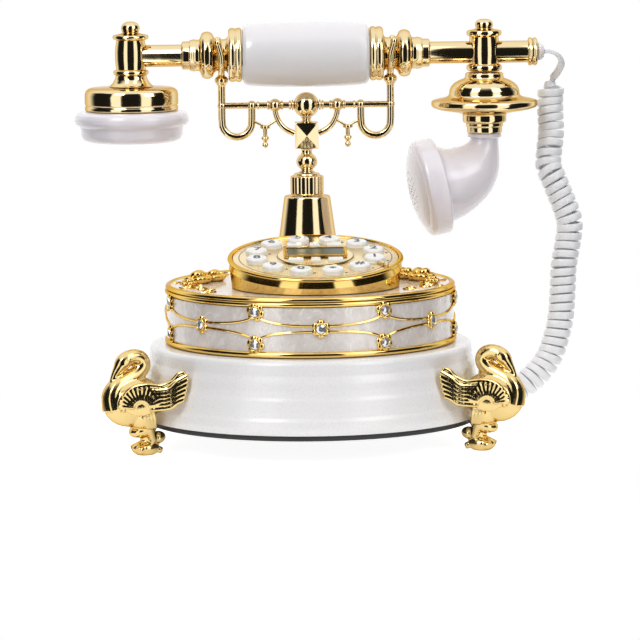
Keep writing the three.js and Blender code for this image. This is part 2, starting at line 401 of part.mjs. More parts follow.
// Heights on the two heads are above the floor, less the height of the handset's axis.
const drop = (pairs) => pairs.map(([r, z]) => [r, z - DRAWN_AXIS]);
const sleeve = (x) => turnedX([[0, x - 20], [BORE_R, x - 20], [BORE_R, x + 20], [0, x + 20]], ROUND_S);
onHandset('ear_barrel', turned(drop([[0, 191.6], [12.8, 191.6], [10.6, 193.2], [9.0, 195.6], [8.4, 197.6],
  [9.9, 198.6], [9.9, 200.0], [8.1, 200.8], [8.75, 206], [8.75, 211], [7.9, 217.2], [9.95, 218.2], [9.95, 219.6], [5.6, 220.8],
  [4.4, 221.4], [5.3, 223.7], [4.0, 226.4], [0, 227.6]]), ROUND_S).translate([-CUP_X, 0, 0])
  .subtract(sleeve(19.7 - CUP_X)), gold);
onHandset('ear_cup', turned(drop([[0, 188.8], [24.3, 188.8], [24.3, 178.2], [26.1, 178.2], [26.1, 187.2],
  [25.3, 189.6], [22.8, 190.9], [0, 191.3]]), ROUND_M).translate([-CUP_X, 0, 0]), gold);
onHandset('ear_cap', turned(drop([[0, 160.6], [23.6, 160.6], [27.2, 162.2], [28.4, 165], [28.6, 168.6], [31.0, 170.2],
  [31.9, 173.2], [31.2, 176], [29, 177.9], [24, 177.9], [24, 165.4], [0, 165.4]]), ROUND_M)
  .translate([-CUP_X, 0, 0]), ivory);
onHandset('receiver_capsule', turned(drop([[0, 165.9], [20, 165.9], [20, 172], [9, 175], [0, 175]]), ROUND_S)
  .translate([-CUP_X, 0, 0]), steel);

const mouthBarrel = turned(drop([[0, 197.6], [8.1, 197.6], [8.1, 198.1], [9.9, 198.6], [9.9, 200.9], [8.1, 201.7],
  [8.7, 206], [8.7, 211], [8.1, 217], [9.8, 217.8], [9.8, 220.2], [5.6, 221], [4.6, 221.4], [5.1, 223.7], [4, 226],
  [0, 226.8]]), ROUND_S).translate([HORN_X, 0, 0]);
onHandset('mouth_barrel', mouthBarrel.subtract(sleeve(HORN_X)), gold);
onHandset('mouth_flange', turned(drop([[0, 163.2], [9.8, 163.2], [9.8, 166.8], [10.5, 167.2], [10.5, 168.8],
  [12.2, 169.2], [12.2, 173.8], [20.7, 175.6], [28.8, 177.6], [29.7, 178.6], [29.7, 180.9], [28.8, 181.7],
  [22.8, 183], [19.8, 184.2], [19.2, 187.5], [16.5, 191.4], [11, 193.8], [10.7, 194.4], [10.7, 196.4], [8.1, 197.3],
  [0, 197.3]]), ROUND_M).translate([HORN_X, 0, 0]), gold);

// The horn bends from straight down to facing the wearer's mouth: centre x, z, radius and lean of each section.
const HORN_TURN = 8;
const sections = [[0, 162.9, 9.5, 0], [0, 160.9, 9.5, 0], [-0.1, 160.2, 7.6, 0], [-0.7, 153.6, 9.8, 25],
  [-5.4, 145.2, 15.0, 43], [-12.5, 139.5, 18.3, 57], [-20.6, 135.6, 20.9, 74], [-25.8, 134.4, 21.9, 78.6]]
  .map(([x, ...rest]) => [HORN_X + x, ...rest]);
const discAt = ([x, z, r, lean], thick = 0.2) => solid(new THREE.CylinderGeometry(r, r, thick, ROUND_S)
  .rotateX(Math.PI / 2).rotateY(deg(lean)).translate(x, 0, z - DRAWN_AXIS));
const turnHorn = (body) => body.translate([-HORN_X, 0, 0]).rotate([0, 0, HORN_TURN]).translate([HORN_X, 0, 0]);
onHandset('horn', turnHorn(joined([chained(sections.slice(0, 2).map((p) => discAt(p))),
  chained(sections.slice(1).map((p) => discAt(p)))])), ivory);
const capAt = (body) => turnHorn(body.rotate([0, 180 + 78.6, 0]).translate([HORN_X - 25.2, 0, 134.5 - DRAWN_AXIS]));
onHandset('horn_cap', capAt(turned([[22.6, 0], [26.4, 0], [27, 0.8], [27, 9.6], [25.6, 11.4], [20, 14.2], [11, 16.4],
  [0, 17.2], [0, 9.6], [22.6, 9.6]], ROUND_M)), ivory);
onHandset('microphone_capsule', capAt(rod(13, 6.4, 0, 0, 2.4, ROUND_S)), steel);

// ---------------------------------------------------------------- handset cord
// Centre line of the coil, from the handset down to the plinth.
const coilLine = [[138.6, 59, 192.2], [137.6, 59, 185], [137.4, 58.5, 177.8], [137.6, 56, 164.4], [136.4, 53, 155],
  [135.6, 51, 146], [138.2, 49, 139], [142.4, 47.5, 128.4], [145.6, 46, 120], [147, 45, 112.7], [145.9, 44, 104],
  [143.4, 42, 91], [142.6, 41, 80], [142.1, 40, 71.2], [141.3, 39, 62.5], [139.7, 38, 54.8], [137.5, 37, 47.2],
  [134.9, 36, 40.7], [130.4, 34.5, 33.8], [123.6, 33, 27.4], [116.6, 32, 22.6], [110.6, 31.4, 20.2]];
const cordNode = (name, body, material = cordWhite) => { cordNames.push(name); add(name, body, material); };
cordNode('cord_coil', bent(coilLine, COIL_R, 32, 5));
const coilTop = coilLine[0], coilEnd = coilLine[coilLine.length - 1];
const glandX = glandTo + GAP;
cordNode('cord_lead', bent([[glandX, PILLAR_Y, AXIS_Z], [137.4, PILLAR_Y, AXIS_Z - 0.2], [141.6, 49.5, 207],
  [142.6, 53, 201.6], [140, 57.9, 196.8], [coilTop[0] + 0.2, coilTop[1], coilTop[2] + 1.6],
  [coilTop[0] + 0.07, coilTop[1], coilTop[2] + GAP + 0.2]], TAIL_R, 12));
const plugOut = new THREE.Vector3(Math.cos(deg(PLUG_ANGLE)), Math.sin(deg(PLUG_ANGLE)), 0);
const plugEnd = PLINTH_R - 3 + PLUG_L;
add('handset_plug', box(PLUG_L, PLUG_W, PLUG_H, PLINTH_R - 3 - PLUG_L / 2 + PLUG_L, 0, PLUG_Z - PLUG_H / 2)
  .rotate([0, 0, PLUG_ANGLE]), clear);
const tail = (r) => plugOut.clone().multiplyScalar(plugEnd + r).setZ(PLUG_Z).toArray();
const coilOut = new THREE.Vector3(...coilEnd).sub(new THREE.Vector3(...coilLine[coilLine.length - 2])).normalize();
const beyond = (r) => new THREE.Vector3(...coilEnd).addScaledVector(coilOut, r).toArray();
cordNode('cord_tail', bent([tail(GAP), tail(0.8), beyond(1.0), beyond(GAP)], TAIL_R, 4));

// ---------------------------------------------------------------- origin
// The origin is on the floor, under the middle of everything but the free cord.
group.updateMatrixWorld(true);
const whole = new THREE.Box3();
group.traverse((o) => { if (o.isMesh && !cordNames.includes(o.name)) whole.expandByObject(o, true); });
const centre = whole.getCenter(new THREE.Vector3());
group.position.set(-centre.x, -centre.y, -whole.min.z);
group.updateMatrixWorld(true);

export default group;
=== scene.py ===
# A table telephone in white and gold: a round plinth on swan feet, an enamel drum with a push-button dial,
# a spring cradle on a pillar, a handset with a horn mouthpiece, and a curly cord.
# Pieces are shaped in millimetres round the plinth's axis and go to metres when they are finished.
import math

import bmesh
import bpy
from mathutils import Matrix, Vector


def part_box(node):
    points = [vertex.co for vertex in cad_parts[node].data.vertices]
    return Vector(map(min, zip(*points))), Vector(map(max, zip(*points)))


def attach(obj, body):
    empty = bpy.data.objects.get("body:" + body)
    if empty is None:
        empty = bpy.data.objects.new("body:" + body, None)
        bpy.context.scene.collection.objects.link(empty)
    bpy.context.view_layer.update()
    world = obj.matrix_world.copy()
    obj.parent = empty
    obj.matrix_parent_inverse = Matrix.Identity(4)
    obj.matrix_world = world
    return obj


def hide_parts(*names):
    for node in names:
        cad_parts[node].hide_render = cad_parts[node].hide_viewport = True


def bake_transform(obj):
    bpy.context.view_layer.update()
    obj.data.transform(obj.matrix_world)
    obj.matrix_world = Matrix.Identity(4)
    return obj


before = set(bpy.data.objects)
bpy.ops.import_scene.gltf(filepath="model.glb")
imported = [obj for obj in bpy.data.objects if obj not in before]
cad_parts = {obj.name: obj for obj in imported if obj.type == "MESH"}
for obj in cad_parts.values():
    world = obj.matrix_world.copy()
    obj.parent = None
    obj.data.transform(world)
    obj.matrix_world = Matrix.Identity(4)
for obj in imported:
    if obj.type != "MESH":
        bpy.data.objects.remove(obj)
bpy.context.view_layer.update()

# ------------------------------------------------------------ camera
# A long lens, a little left of the front and a few degrees up, so that the round plinth shows as a shallow
# ellipse and the handset stays almost level. It aims at a point right of the plinth's axis.
CAMERA_FAR, CAMERA_LENS, CAMERA_AIM = 2.2, 225, Vector((5.2, 0, 66.5))
CAMERA_AZIMUTH, CAMERA_HEIGHT, CAMERA_ROLL = math.radians(-1.5), math.radians(7), math.radians(-0.6)
plate_low, plate_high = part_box("base_plate")
TO_FRAME = (Matrix.Translation(((plate_low.x + plate_high.x) / 2, (plate_low.y + plate_high.y) / 2, 0))
            @ Matrix.Scale(0.001, 4))
back = Vector((math.sin(CAMERA_AZIMUTH) * math.cos(CAMERA_HEIGHT),
               -math.cos(CAMERA_AZIMUTH) * math.cos(CAMERA_HEIGHT), math.sin(CAMERA_HEIGHT)))
camera = bpy.data.objects.new("camera", bpy.data.cameras.new("camera"))
camera.data.sensor_width, camera.data.lens = 36, CAMERA_LENS
camera.data.clip_start, camera.data.clip_end = 0.1, 100
camera.location = TO_FRAME @ CAMERA_AIM + CAMERA_FAR * back
camera.rotation_mode = "QUATERNION"
camera.rotation_quaternion = ((-back).to_track_quat("-Z", "Y")
                              @ Matrix.Rotation(CAMERA_ROLL, 3, "Z").to_quaternion())
bpy.context.scene.collection.objects.link(camera)
bpy.context.scene.camera = camera

# ------------------------------------------------------------ handset cord
# A flat light-grey cord wound into a curly one 15 mm across. It leaves the gland at the horn's end of the
# handset, hangs in a bow and runs into its plug low on the plinth.
CORD_WIDE, CORD_THICK, CORD_SIDES = 4.3, 2.5, 10
COIL_R, COIL_PITCH, COIL_START, STEPS_PER_TURN, TURNS_TO_WIDEN = 7.4, 4.95, 0.6, 20, 0.9
GLAND_END, PLUG_TURN, PLUG_REACH = (133.3, 47.5, 210.1), math.radians(17.5), 106.3
COIL_LINE = [
    (138.6, 59, 192.2), (137.6, 59, 185), (137.4, 58.5, 177.8), (137.6, 56, 164.4), (136.4, 53, 155),
    (135.6, 51, 146), (138.2, 49, 139), (142.4, 47.5, 128.4), (145.6, 46, 120), (147, 45, 112.7),
    (145.9, 44, 104), (143.4, 42, 91), (142.6, 41, 80), (142.1, 40, 71.2), (141.3, 39, 62.5), (139.7, 38, 54.8),
    (137.5, 37, 47.2), (134.9, 36, 40.7), (130.4, 34.5, 33.8), (123.6, 33, 27.4), (116.6, 32, 22.6),
    (110.6, 31.4, 20.2)
]
LEAD_LINE = [GLAND_END, (136.4, 47.5, 210.0), (140.8, 48.4, 208.0), (143.2, 51.5, 203.4), (141.4, 56.5, 198.0)]
PLUG_UP = Vector((0, 0, 20))


class Amount:
    """A value in a material, which takes part in sums."""

    def __init__(self, nodes, socket):
        self.nodes, self.socket = nodes, socket

    def sum(self, operation, a, b=0.0):
        return self.nodes.make("ShaderNodeMath", {"operation": operation}, {0: a, 1: b})

    def __add__(self, other):
        return self.sum("ADD", self, other)

    def __sub__(self, other):
        return self.sum("SUBTRACT", self, other)

    def __rsub__(self, other):
        return self.sum("SUBTRACT", other, self)

    def __mul__(self, other):
        return self.sum("MULTIPLY", self, other)

    def __pow__(self, other):
        return self.sum("POWER", self, other)

    def __gt__(self, other):
        return self.sum("GREATER_THAN", self, other)

    def __lt__(self, other):
        return self.sum("LESS_THAN", self, other)

    __radd__, __rmul__ = __add__, __mul__


class Nodes:
    """The nodes of a new material, by its name, or of the surroundings."""

    def __init__(self, owner):
        if isinstance(owner, str):
            owner = bpy.data.materials.new(owner)
        owner.use_nodes = True
        self.owner, self.tree = owner, owner.node_tree
        self.tree.nodes.clear()

    def make(self, kind, settings=None, inputs=None, output=0):
        node = self.tree.nodes.new(kind)
        for key, value in (settings or {}).items():
            if key == "stops":
                while len(node.color_ramp.elements) < len(value):
                    node.color_ramp.elements.new(0.5)
                for stop, (place, colour) in zip(node.color_ramp.elements, value):
                    stop.position, stop.color = place, (*colour, 1)
            else:
                setattr(node, key, value)
        for key, value in (inputs or {}).items():
            if isinstance(value, Amount):
                self.tree.links.new(value.socket, node.inputs[key])
            else:
                node.inputs[key].default_value = value
        return Amount(self, node.outputs[output]) if node.outputs else None

    def place(self, centre=(0, 0, 0), scale=(1, 1, 1), turn=(0, 0, 0)):
        """Object coordinates in millimetres from a centre, turned and then stretched by scale."""
        spot = self.make("ShaderNodeTexCoord", output="Object")
        moved = self.make("ShaderNodeVectorMath", {"operation": "SUBTRACT"},
                          {0: spot, 1: (TO_FRAME @ Vector(centre))[:]})
        return self.make("ShaderNodeMapping", None,
                         {"Vector": moved, "Rotation": turn, "Scale": tuple(1000 * s for s in scale)})

    def noise(self, place, scale, detail=2.0, roughness=0.5):
        return self.make("ShaderNodeTexNoise", None,
                         {"Vector": place, "Scale": scale, "Detail": detail, "Roughness": roughness})

    def colours(self, factor, a, b):
        return self.make("ShaderNodeMix", {"data_type": "RGBA"}, {0: factor, 6: a, 7: b}, 2)

    def bump(self, height, strength, distance=0.0002):
        return self.make("ShaderNodeBump", None, {"Height": height, "Strength": strength, "Distance": distance})

    def surface(self, **sockets):
        """The finished surface, by its socket names with _ for a space."""
        shader = self.make("ShaderNodeBsdfPrincipled", None, {k.replace("_", " "): v for k, v in sockets.items()})
        self.make("ShaderNodeOutputMaterial", None, {"Surface": shader})
        return self.owner


def flowing(points, per=6):
    """A smooth line through points of any number of values, with per steps from one to the next."""
    ends = [points[0], *points, points[-1]]
    line = []
    for p0, p1, p2, p3 in zip(ends, ends[1:], ends[2:], ends[3:]):
        for i in range(per):
            t = i / per
            line.append(tuple(0.5 * (2 * b + (c - a) * t + (2 * a - 5 * b + 4 * c - d) * t * t
                                     + (3 * b - a - 3 * c + d) * t ** 3) for a, b, c, d in zip(p0, p1, p2, p3)))
    return line + [tuple(points[-1])]


def finished(name, bm, material, body, slot, *stands_for, crease=32):
    """Puts a shape in the frame as a piece that rides on a body and stands for its CAD nodes."""
    bmesh.ops.transform(bm, matrix=TO_FRAME, verts=bm.verts)
    bmesh.ops.recalc_face_normals(bm, faces=bm.faces)
    mesh = bpy.data.meshes.new(name)
    bm.to_mesh(mesh)
    bm.free()
    mesh.shade_smooth()
    mesh.set_sharp_from_angle(angle=math.radians(crease))
    mesh.materials.append(material)
    piece = bpy.data.objects.new(name, mesh)
    bpy.context.scene.collection.objects.link(piece)
    if body:
        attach(piece, body)
    if stands_for:
        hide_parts(*stands_for)
    return piece


def cord_sheath():
    """Satin light-grey plastic, a little uneven, with a seam down each flat side."""
    n = Nodes("cord_sheath")
    across = n.make("ShaderNodeSeparateXYZ", None, {0: n.make("ShaderNodeUVMap", {"uv_map": "along"})})
    mottled = n.noise(n.place(), 0.12, 3)
    seam = across.sum("ABSOLUTE", across - 0.25) < 0.03
    colour = n.colours(mottled, (0.84, 0.85, 0.88, 1), (0.93, 0.93, 0.95, 1))
    return n.surface(Base_Color=colour, Roughness=mottled * 0.15 + 0.32,
                     Normal=n.bump(n.noise(n.place(), 1.3, 3) - seam * 0.6, 0.25, 0.0001))


coil_axis = [Vector(p) for p in flowing(COIL_LINE, 40)]
coil_long = sum((b - a).length for a, b in zip(coil_axis, coil_axis[1:]))
turns = coil_long / COIL_PITCH
rings, sideways, gone = [], Vector((1, 0, 0)), 0.0
for a, b in zip(coil_axis, coil_axis[1:]):
    along = (b - a).normalized()
    sideways = (sideways - sideways.dot(along) * along).normalized()
    third = along.cross(sideways)
    steps = max(1, round((b - a).length / COIL_PITCH * STEPS_PER_TURN))
    for i in range(steps):
        share = (gone + (b - a).length * i / steps) / coil_long
        ends = min(share, 1 - share) * turns / TURNS_TO_WIDEN
        reach = (COIL_R - CORD_THICK / 2) * (ends * ends * (3 - 2 * ends) if ends < 1 else 1)
        turn = share * turns * math.tau + COIL_START
        away = math.cos(turn) * sideways + math.sin(turn) * third
        rings.append((a + (b - a) * i / steps + reach * away, away))
    gone += (b - a).length
lead = flowing([*LEAD_LINE, tuple(coil_axis[0] + Vector((0.4, 0, 2.6)))], 7)[:-1]
plug_way = Vector((math.cos(PLUG_TURN), math.sin(PLUG_TURN), 0))
tail = flowing([tuple(coil_axis[-1] + 1.2 * (coil_axis[-1] - coil_axis[-6]).normalized()),
                tuple(plug_way * (PLUG_REACH + 1.6) + PLUG_UP), tuple(plug_way * PLUG_REACH + PLUG_UP)], 5)
centres = [Vector(p) for p in lead] + [r[0] for r in rings] + [Vector(p) for p in tail]
outward = [None] * len(lead) + [r[1] for r in rings] + [None] * len(tail)
thin, ring_loops = Vector((0, 1, 0)), []
bm = bmesh.new()
around = bm.loops.layers.uv.new("along")
for i, centre in enumerate(centres):
    way = (centres[min(i + 1, len(centres) - 1)] - centres[max(i - 1, 0)]).normalized()
    wanted = outward[i] if outward[i] is not None else thin
    thin = (wanted - wanted.dot(way) * way).normalized()
    if i == 0:
        thin = Vector((0, 0, 1))
    wide = way.cross(thin)
    loop = []
    for k in range(CORD_SIDES):
        a = math.tau * k / CORD_SIDES
        x, y = math.cos(a), math.sin(a)
        loop.append(bm.verts.new(centre + wide * CORD_WIDE / 2 * math.copysign(abs(x) ** 0.6, x)
                                 + thin * CORD_THICK / 2 * math.copysign(abs(y) ** 0.6, y)))
    ring_loops.append(loop)
for i, (one, two) in enumerate(zip(ring_loops, ring_loops[1:])):
    for k in range(CORD_SIDES):
        after = (k + 1) % CORD_SIDES
        face = bm.faces.new((one[k], one[after], two[after], two[k]))
        for loop, (u, v) in zip(face.loops, ((k, i), (k + 1, i), (k + 1, i + 1), (k, i + 1))):
            loop[around].uv = (u / CORD_SIDES, v / STEPS_PER_TURN)
bm.faces.new(ring_loops[0])
bm.faces.new(ring_loops[-1])
cord = finished("curly_cord", bm, cord_sheath(), None, "cord", "cord_lead", "cord_coil", "cord_tail", crease=50)
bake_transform(cord)
cord_path = [TO_FRAME @ c for c in centres]
cord_long = sum((b - a).length for a, b in zip(cord_path, cord_path[1:]))

# ------------------------------------------------------------ floor and light
# A white sweep under white light from behind, above and the sides. The front is dark but for two tall
# white screens, which give plated pieces their paired white lines. Angles are in degrees.
SCREEN_AT, SCREEN_HALF, SCREEN_TOP, DARK_HALF, DARK_TOP = 38, 13, 62, 115, 48
SKY_LIGHT, DARK_LIGHT, SCREEN_LIGHT, FLOOR_R, LAMP_SIZE = 1.05, 0.012, 1.25, 0.2, 0.8
LAMPS = (("key", (-0.9, -1.3, 1.5), 9.4), ("fill", (1.2, -1.1, 1.1), 5.4))
world = Nodes(bpy.data.worlds.new("studio"))
bpy.context.scene.world = world.owner
way = world.make("ShaderNodeTexCoord", output="Generated")
x, y, z = (world.make("ShaderNodeSeparateXYZ", None, {0: way}, i) for i in range(3))
side = x.sum("ABSOLUTE", x.sum("ARCTAN2", x, y * -1)) * (180 / math.pi)
rise = z.sum("ARCSINE", z) * (180 / math.pi)


def soft_step(value, at, over):
    return value.nodes.make("ShaderNodeMapRange", {"interpolation_type": "SMOOTHSTEP"},
                            {"Value": value, "From Min": at - over, "From Max": at + over, "To Min": 0.0,
                             "To Max": 1.0})


lit = 1 - (1 - soft_step(side, DARK_HALF, 14)) * (1 - soft_step(rise, DARK_TOP, 9))
to_screen = side.sum("ABSOLUTE", side - SCREEN_AT)
screen = (1 - soft_step(to_screen, SCREEN_HALF, 2)) * (1 - soft_step(rise, SCREEN_TOP, 4))
strength = lit * SKY_LIGHT + DARK_LIGHT + screen * SCREEN_LIGHT
seen = world.make("ShaderNodeLightPath", output="Is Camera Ray")
sky = world.make("ShaderNodeBackground", None, {"Color": (1, 1, 1, 1), "Strength": seen + (1 - seen) * strength})
world.make("ShaderNodeOutputWorld", None, {"Surface": sky})

bm = bmesh.new()
bmesh.ops.create_circle(bm, cap_ends=True, radius=FLOOR_R, segments=96)
floor_mesh = bpy.data.meshes.new("floor")
bm.to_mesh(floor_mesh)
bm.free()
floor = bpy.data.objects.new("floor", floor_mesh)
bpy.context.scene.collection.objects.link(floor)
paper = Nodes("paper_sweep")
direct = paper.make("ShaderNodeLightPath", output="Is Camera Ray")
glow = paper.colours(direct, (0.36, 0.35, 0.33, 1), (0.9, 0.9, 0.9, 1))
floor_mesh.materials.append(paper.surface(Base_Color=(0.8, 0.8, 0.8, 1), Roughness=0.9, Emission_Strength=1.0,
                                          Emission_Color=glow))
for name, spot, power in LAMPS:
    lamp = bpy.data.lights.new(name, "AREA")
    lamp.size, lamp.energy = LAMP_SIZE, power
    holder = bpy.data.objects.new(name, lamp)
    holder.location = spot
    holder.rotation_euler = (-Vector(spot) + Vector((0, 0, 0.1))).to_track_quat("-Z", "Y").to_euler()
    bpy.context.scene.collection.objects.link(holder)
bpy.context.scene.view_settings.view_transform = "Standard"

# ------------------------------------------------------------ plinth
# A moulded plinth of glossy white plastic with three soft steps, over a black base plate that is screwed up
# from below. The line socket is a black block at the back.
STEPS = [
    (0, 50.3), (83.4, 50.3), (83.4, 16), (94, 16), (94.2, 20), (94, 23.5), (92.9, 25.3), (92.5, 29), (92.1, 34),
    (91.2, 36), (90.4, 39.5), (90.1, 43), (89.4, 45.2), (88.6, 47.2), (88.5, 52.6), (87.7, 54.4), (85.8, 55.3),
    (0, 55.3)
]


def turned(profile, rounding=0.35, steps=112, at=None):
    """A turning about the up axis, from pairs of radius and height, with its corners rounded."""
    bm = bmesh.new()
    line = [bm.verts.new((r, 0, z)) for r, z in profile]
    for a, b in zip(line, line[1:] + (line[:1] if profile[0][0] > 0 else [])):
        bm.edges.new((a, b))
    if rounding:
        bmesh.ops.bevel(bm, geom=[v for v in line if len(v.link_edges) == 2], offset=rounding,
                        offset_type="OFFSET", segments=2, profile=0.5, affect="VERTICES", clamp_overlap=True,
                        material=-1)
    bmesh.ops.spin(bm, geom=bm.verts[:] + bm.edges[:], cent=(0, 0, 0), axis=(0, 0, 1), angle=math.tau,
                   steps=steps, use_merge=True)
    bmesh.ops.remove_doubles(bm, verts=bm.verts, dist=1e-4)
    if at:
        bmesh.ops.transform(bm, matrix=at, verts=bm.verts)
    return bm


def moulded_white(name, colour, shade, gloss=0.22, coat=0.06):
    """Thick glossy plastic with a faint pearly drift of tone and moulding ripple."""
    n = Nodes(name)
    drift = n.noise(n.place(), 0.02, 4, 0.6)
    fine = n.noise(n.place(), 0.9, 3)
    return n.surface(Base_Color=n.colours(drift, (*colour, 1), (*shade, 1)), Roughness=fine * 0.08 + gloss,
                     Normal=n.bump(n.noise(n.place(), 0.05, 2) + fine * 0.06, 0.12, 0.0006), Coat_Weight=0.5,
                     Coat_Roughness=coat, Subsurface_Weight=0.05, Subsurface_Scale=0.002)


plinth_white = moulded_white("plinth_white", (0.91, 0.90, 0.91), (0.87, 0.86, 0.87), 0.24, 0.1)
finished("plinth", turned(STEPS, 0.5, 160), plinth_white, "base", "ivory", "plinth_shell")

n = Nodes("base_rubber")
grain = n.noise(n.place(), 2.2, 4, 0.7)
base_rubber = n.surface(Base_Color=n.colours(grain, (0.02, 0.02, 0.022, 1), (0.05, 0.05, 0.054, 1)),
                        Roughness=grain * 0.25 + 0.5, Normal=n.bump(grain, 0.35, 0.0002))
finished("base_disc", turned([
    (0, 13), (91.6, 13), (92, 13.4), (92, 15.7), (0, 15.7)
], 0.3, 128), base_rubber, "base", "black", "base_plate")


def plain(name, dark, light, scale, rough, detail=3, stretch=(1, 1, 1), **more):
    """A plain finish that drifts between two tones, with rough as the least roughness."""
    n = Nodes(name)
    grain = n.noise(n.place(scale=stretch), scale, detail)
    return n.surface(Base_Color=n.colours(grain, (*dark, 1), (*light, 1)), Roughness=grain * 0.2 + rough, **more)


def painted(material, *names):
    """Gives CAD nodes that are shown as they are a material."""
    for name in names:
        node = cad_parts[name]
        node.data.materials.clear()
        node.data.materials.append(material)


painted(plain("socket_plastic", (0.025, 0.025, 0.028), (0.05, 0.05, 0.055), 1.6, 0.3), "line_jack", "hook_switch")

# ------------------------------------------------------------ drum
# A gold-plated casting with a bead at each rim and a pearl enamel band between them. Gold wires run over the
# enamel from crystal to crystal: one in the middle, then a pair, all the way round.
BAND_R, BAND_MID, STATIONS, FIRST_STATION = 78.9, 71.4, 14, math.radians(-87.4)
PAIR_RISE, WIRE_R = 8.7, 0.68


def plated(name, colour=(0.90, 0.73, 0.43), rough=0.05, cast=0.0):
    """Gold plate with the slight waves of what lies under it. A cast piece has more of them."""
    n = Nodes(name)
    wave = n.noise(n.place(), 0.07, 2)
    fine = n.noise(n.place(), 1.1, 4, 0.6)
    tone = n.colours(fine * 0.6 + wave * 0.4, (*(c * 0.93 for c in colour), 1), (*colour, 1))
    return n.surface(Base_Color=tone, Metallic=1.0, Roughness=fine * 0.07 + rough,
                     Specular_Tint=(0.7, 0.5, 0.25, 1),
                     Normal=n.bump(wave + fine * (0.06 + cast), 0.10 + cast, 0.0007))


def shifted(x, y, z):
    return Matrix.Translation((x, y, z))


def spun(angle, axis):
    return Matrix.Rotation(angle, 4, axis)


def stretched(x, y, z):
    return Matrix.Diagonal((x, y, z, 1))


def mesh_of(holder):
    """The mesh that a curve, a text or a mesh with modifiers comes to. It uses up its object."""
    bpy.context.scene.collection.objects.link(holder)
    bpy.context.view_layer.update()
    mesh = bpy.data.meshes.new_from_object(holder.evaluated_get(bpy.context.evaluated_depsgraph_get()))
    bpy.data.objects.remove(holder)
    return mesh


def lump(bm, at, across, down, radius=1):
    """Adds a ball, which the matrix places and may stretch."""
    bmesh.ops.create_uvsphere(bm, u_segments=across, v_segments=down, radius=radius, matrix=at)


def drawn(paths, sides=8, into=None):
    """Wires from paths of (x, y, z, radius), all in one shape."""
    curve = bpy.data.curves.new("wire", "CURVE")
    curve.dimensions, curve.use_fill_caps = "3D", True
    curve.bevel_depth, curve.bevel_resolution = 1.0, sides // 2 - 2
    for path in paths:
        spline = curve.splines.new("POLY")
        spline.points.add(len(path) - 1)
        for point, (px, py, pz, r) in zip(spline.points, path):
            point.co, point.radius = (px, py, pz, 1), r
    mesh = mesh_of(bpy.data.objects.new("wire", curve))
    new = bmesh.new()
    new.from_mesh(mesh)
    bmesh.ops.remove_doubles(new, verts=new.verts, dist=1e-4)
    bpy.data.meshes.remove(mesh)
    bpy.data.curves.remove(curve)
    return new if into is None else joined(into, new)


def joined(bm, *others):
    """Adds other shapes to one, and uses them up."""
    for other in others:
        mesh = bpy.data.meshes.new("part")
        other.to_mesh(mesh)
        other.free()
        bm.from_mesh(mesh)
        bpy.data.meshes.remove(mesh)
    return bm


gold = plated("polished_gold")
rich_gold = plated("rich_gold", (0.93, 0.66, 0.22))
cast_gold = plated("cast_gold", (0.88, 0.67, 0.30), 0.08, 0.03)
finished("drum_rims", turned([
    (74.8, 55.6), (78.8, 55.6), (79.9, 56.1), (80.3, 57.1), (80.0, 58.2), (79.1, 58.9), (77.3, 58.4),
    (77.3, 82.8), (79.0, 82.8), (79.7, 83.3), (80.0, 84.2), (79.7, 85.0), (78.9, 85.4), (74.8, 85.4)
], 0.3, 160), rich_gold, "base", "gold", "drum_casting")

n = Nodes("pearl_enamel")
fibre = n.make("ShaderNodeTexNoise", None, {"Vector": n.place((0, 0, 70), (1, 1, 0.7)), "Scale": 0.13,
                                           "Detail": 5.0, "Roughness": 0.62, "Distortion": 1.6})
cloud = n.noise(n.place(), 0.06, 3)
pearly = n.make("ShaderNodeValToRGB", {"stops": [(0.30, (0.72, 0.63, 0.58)), (0.45, (0.84, 0.77, 0.73)),
                                                 (0.56, (0.92, 0.87, 0.84)), (0.72, (0.97, 0.94, 0.91))]},
                {0: fibre * 0.7 + cloud * 0.3})
pearl_enamel = n.surface(Base_Color=pearly, Roughness=fibre * 0.2 + 0.16, Metallic=0.12, Coat_Weight=0.8,
                         Coat_Roughness=0.05, Normal=n.bump(fibre, 0.35, 0.0003))
finished("enamel", turned([
    (77.7, 58.5), (78.7, 58.5), (78.9, 60), (78.9, 81), (78.7, 82.5), (77.7, 82.5)
], 0.1, 160), pearl_enamel, "base", "pearl", "enamel_band")


def on_band(turn, z, out):
    return ((BAND_R + out) * math.cos(turn), (BAND_R + out) * math.sin(turn), z)


wires, flowers, stones = [], bmesh.new(), bmesh.new()
for station in range(STATIONS):
    turn = FIRST_STATION + station * math.tau / STATIONS
    pair = station % 2
    for lift in ((-1, 1) if pair else (0,)):
        spot = on_band(turn, BAND_MID + lift * PAIR_RISE, 0.3)
        set_in = Matrix.Translation(spot) @ spun(turn, "Z") @ spun(math.pi / 2, "Y")
        for petal in range(6):
            a = math.tau * petal / 6 + (0.26 if pair else 0)
            lobe = set_in @ shifted(3.1 * math.cos(a), 3.1 * math.sin(a), 0.1)
            lump(flowers, lobe @ stretched(2.05, 2.05, 1.2), 12, 7)
        joined(flowers, turned([(2.7, 0.2), (3.5, 0.2), (3.45, 1.45), (3.1, 1.8), (2.8, 1.5)], 0.15, 24, set_in))
        lump(stones, set_in @ shifted(0, 0, 1.1) @ spun(0.3 * station, "Z")
             @ stretched(2.9, 2.9, 1.4), 8, 6)
    if not pair:
        for way_round in (-1, 1):
            for lift in (-1, 1):
                path = []
                for i in range(19):
                    u = 0.13 + 0.78 * i / 18
                    rise_here = 1.5 + (PAIR_RISE - 2.2) * (1 - math.sqrt(1 - min(u, 0.999) ** 2.6))
                    path.append((*on_band(turn + way_round * u * math.tau / STATIONS, BAND_MID + lift * rise_here,
                                          0.12), WIRE_R))
                wires.append(path)
joined(flowers, drawn(wires, 8))
finished("band_ornament", flowers, rich_gold, "base", "gold")
n = Nodes("cut_crystal")
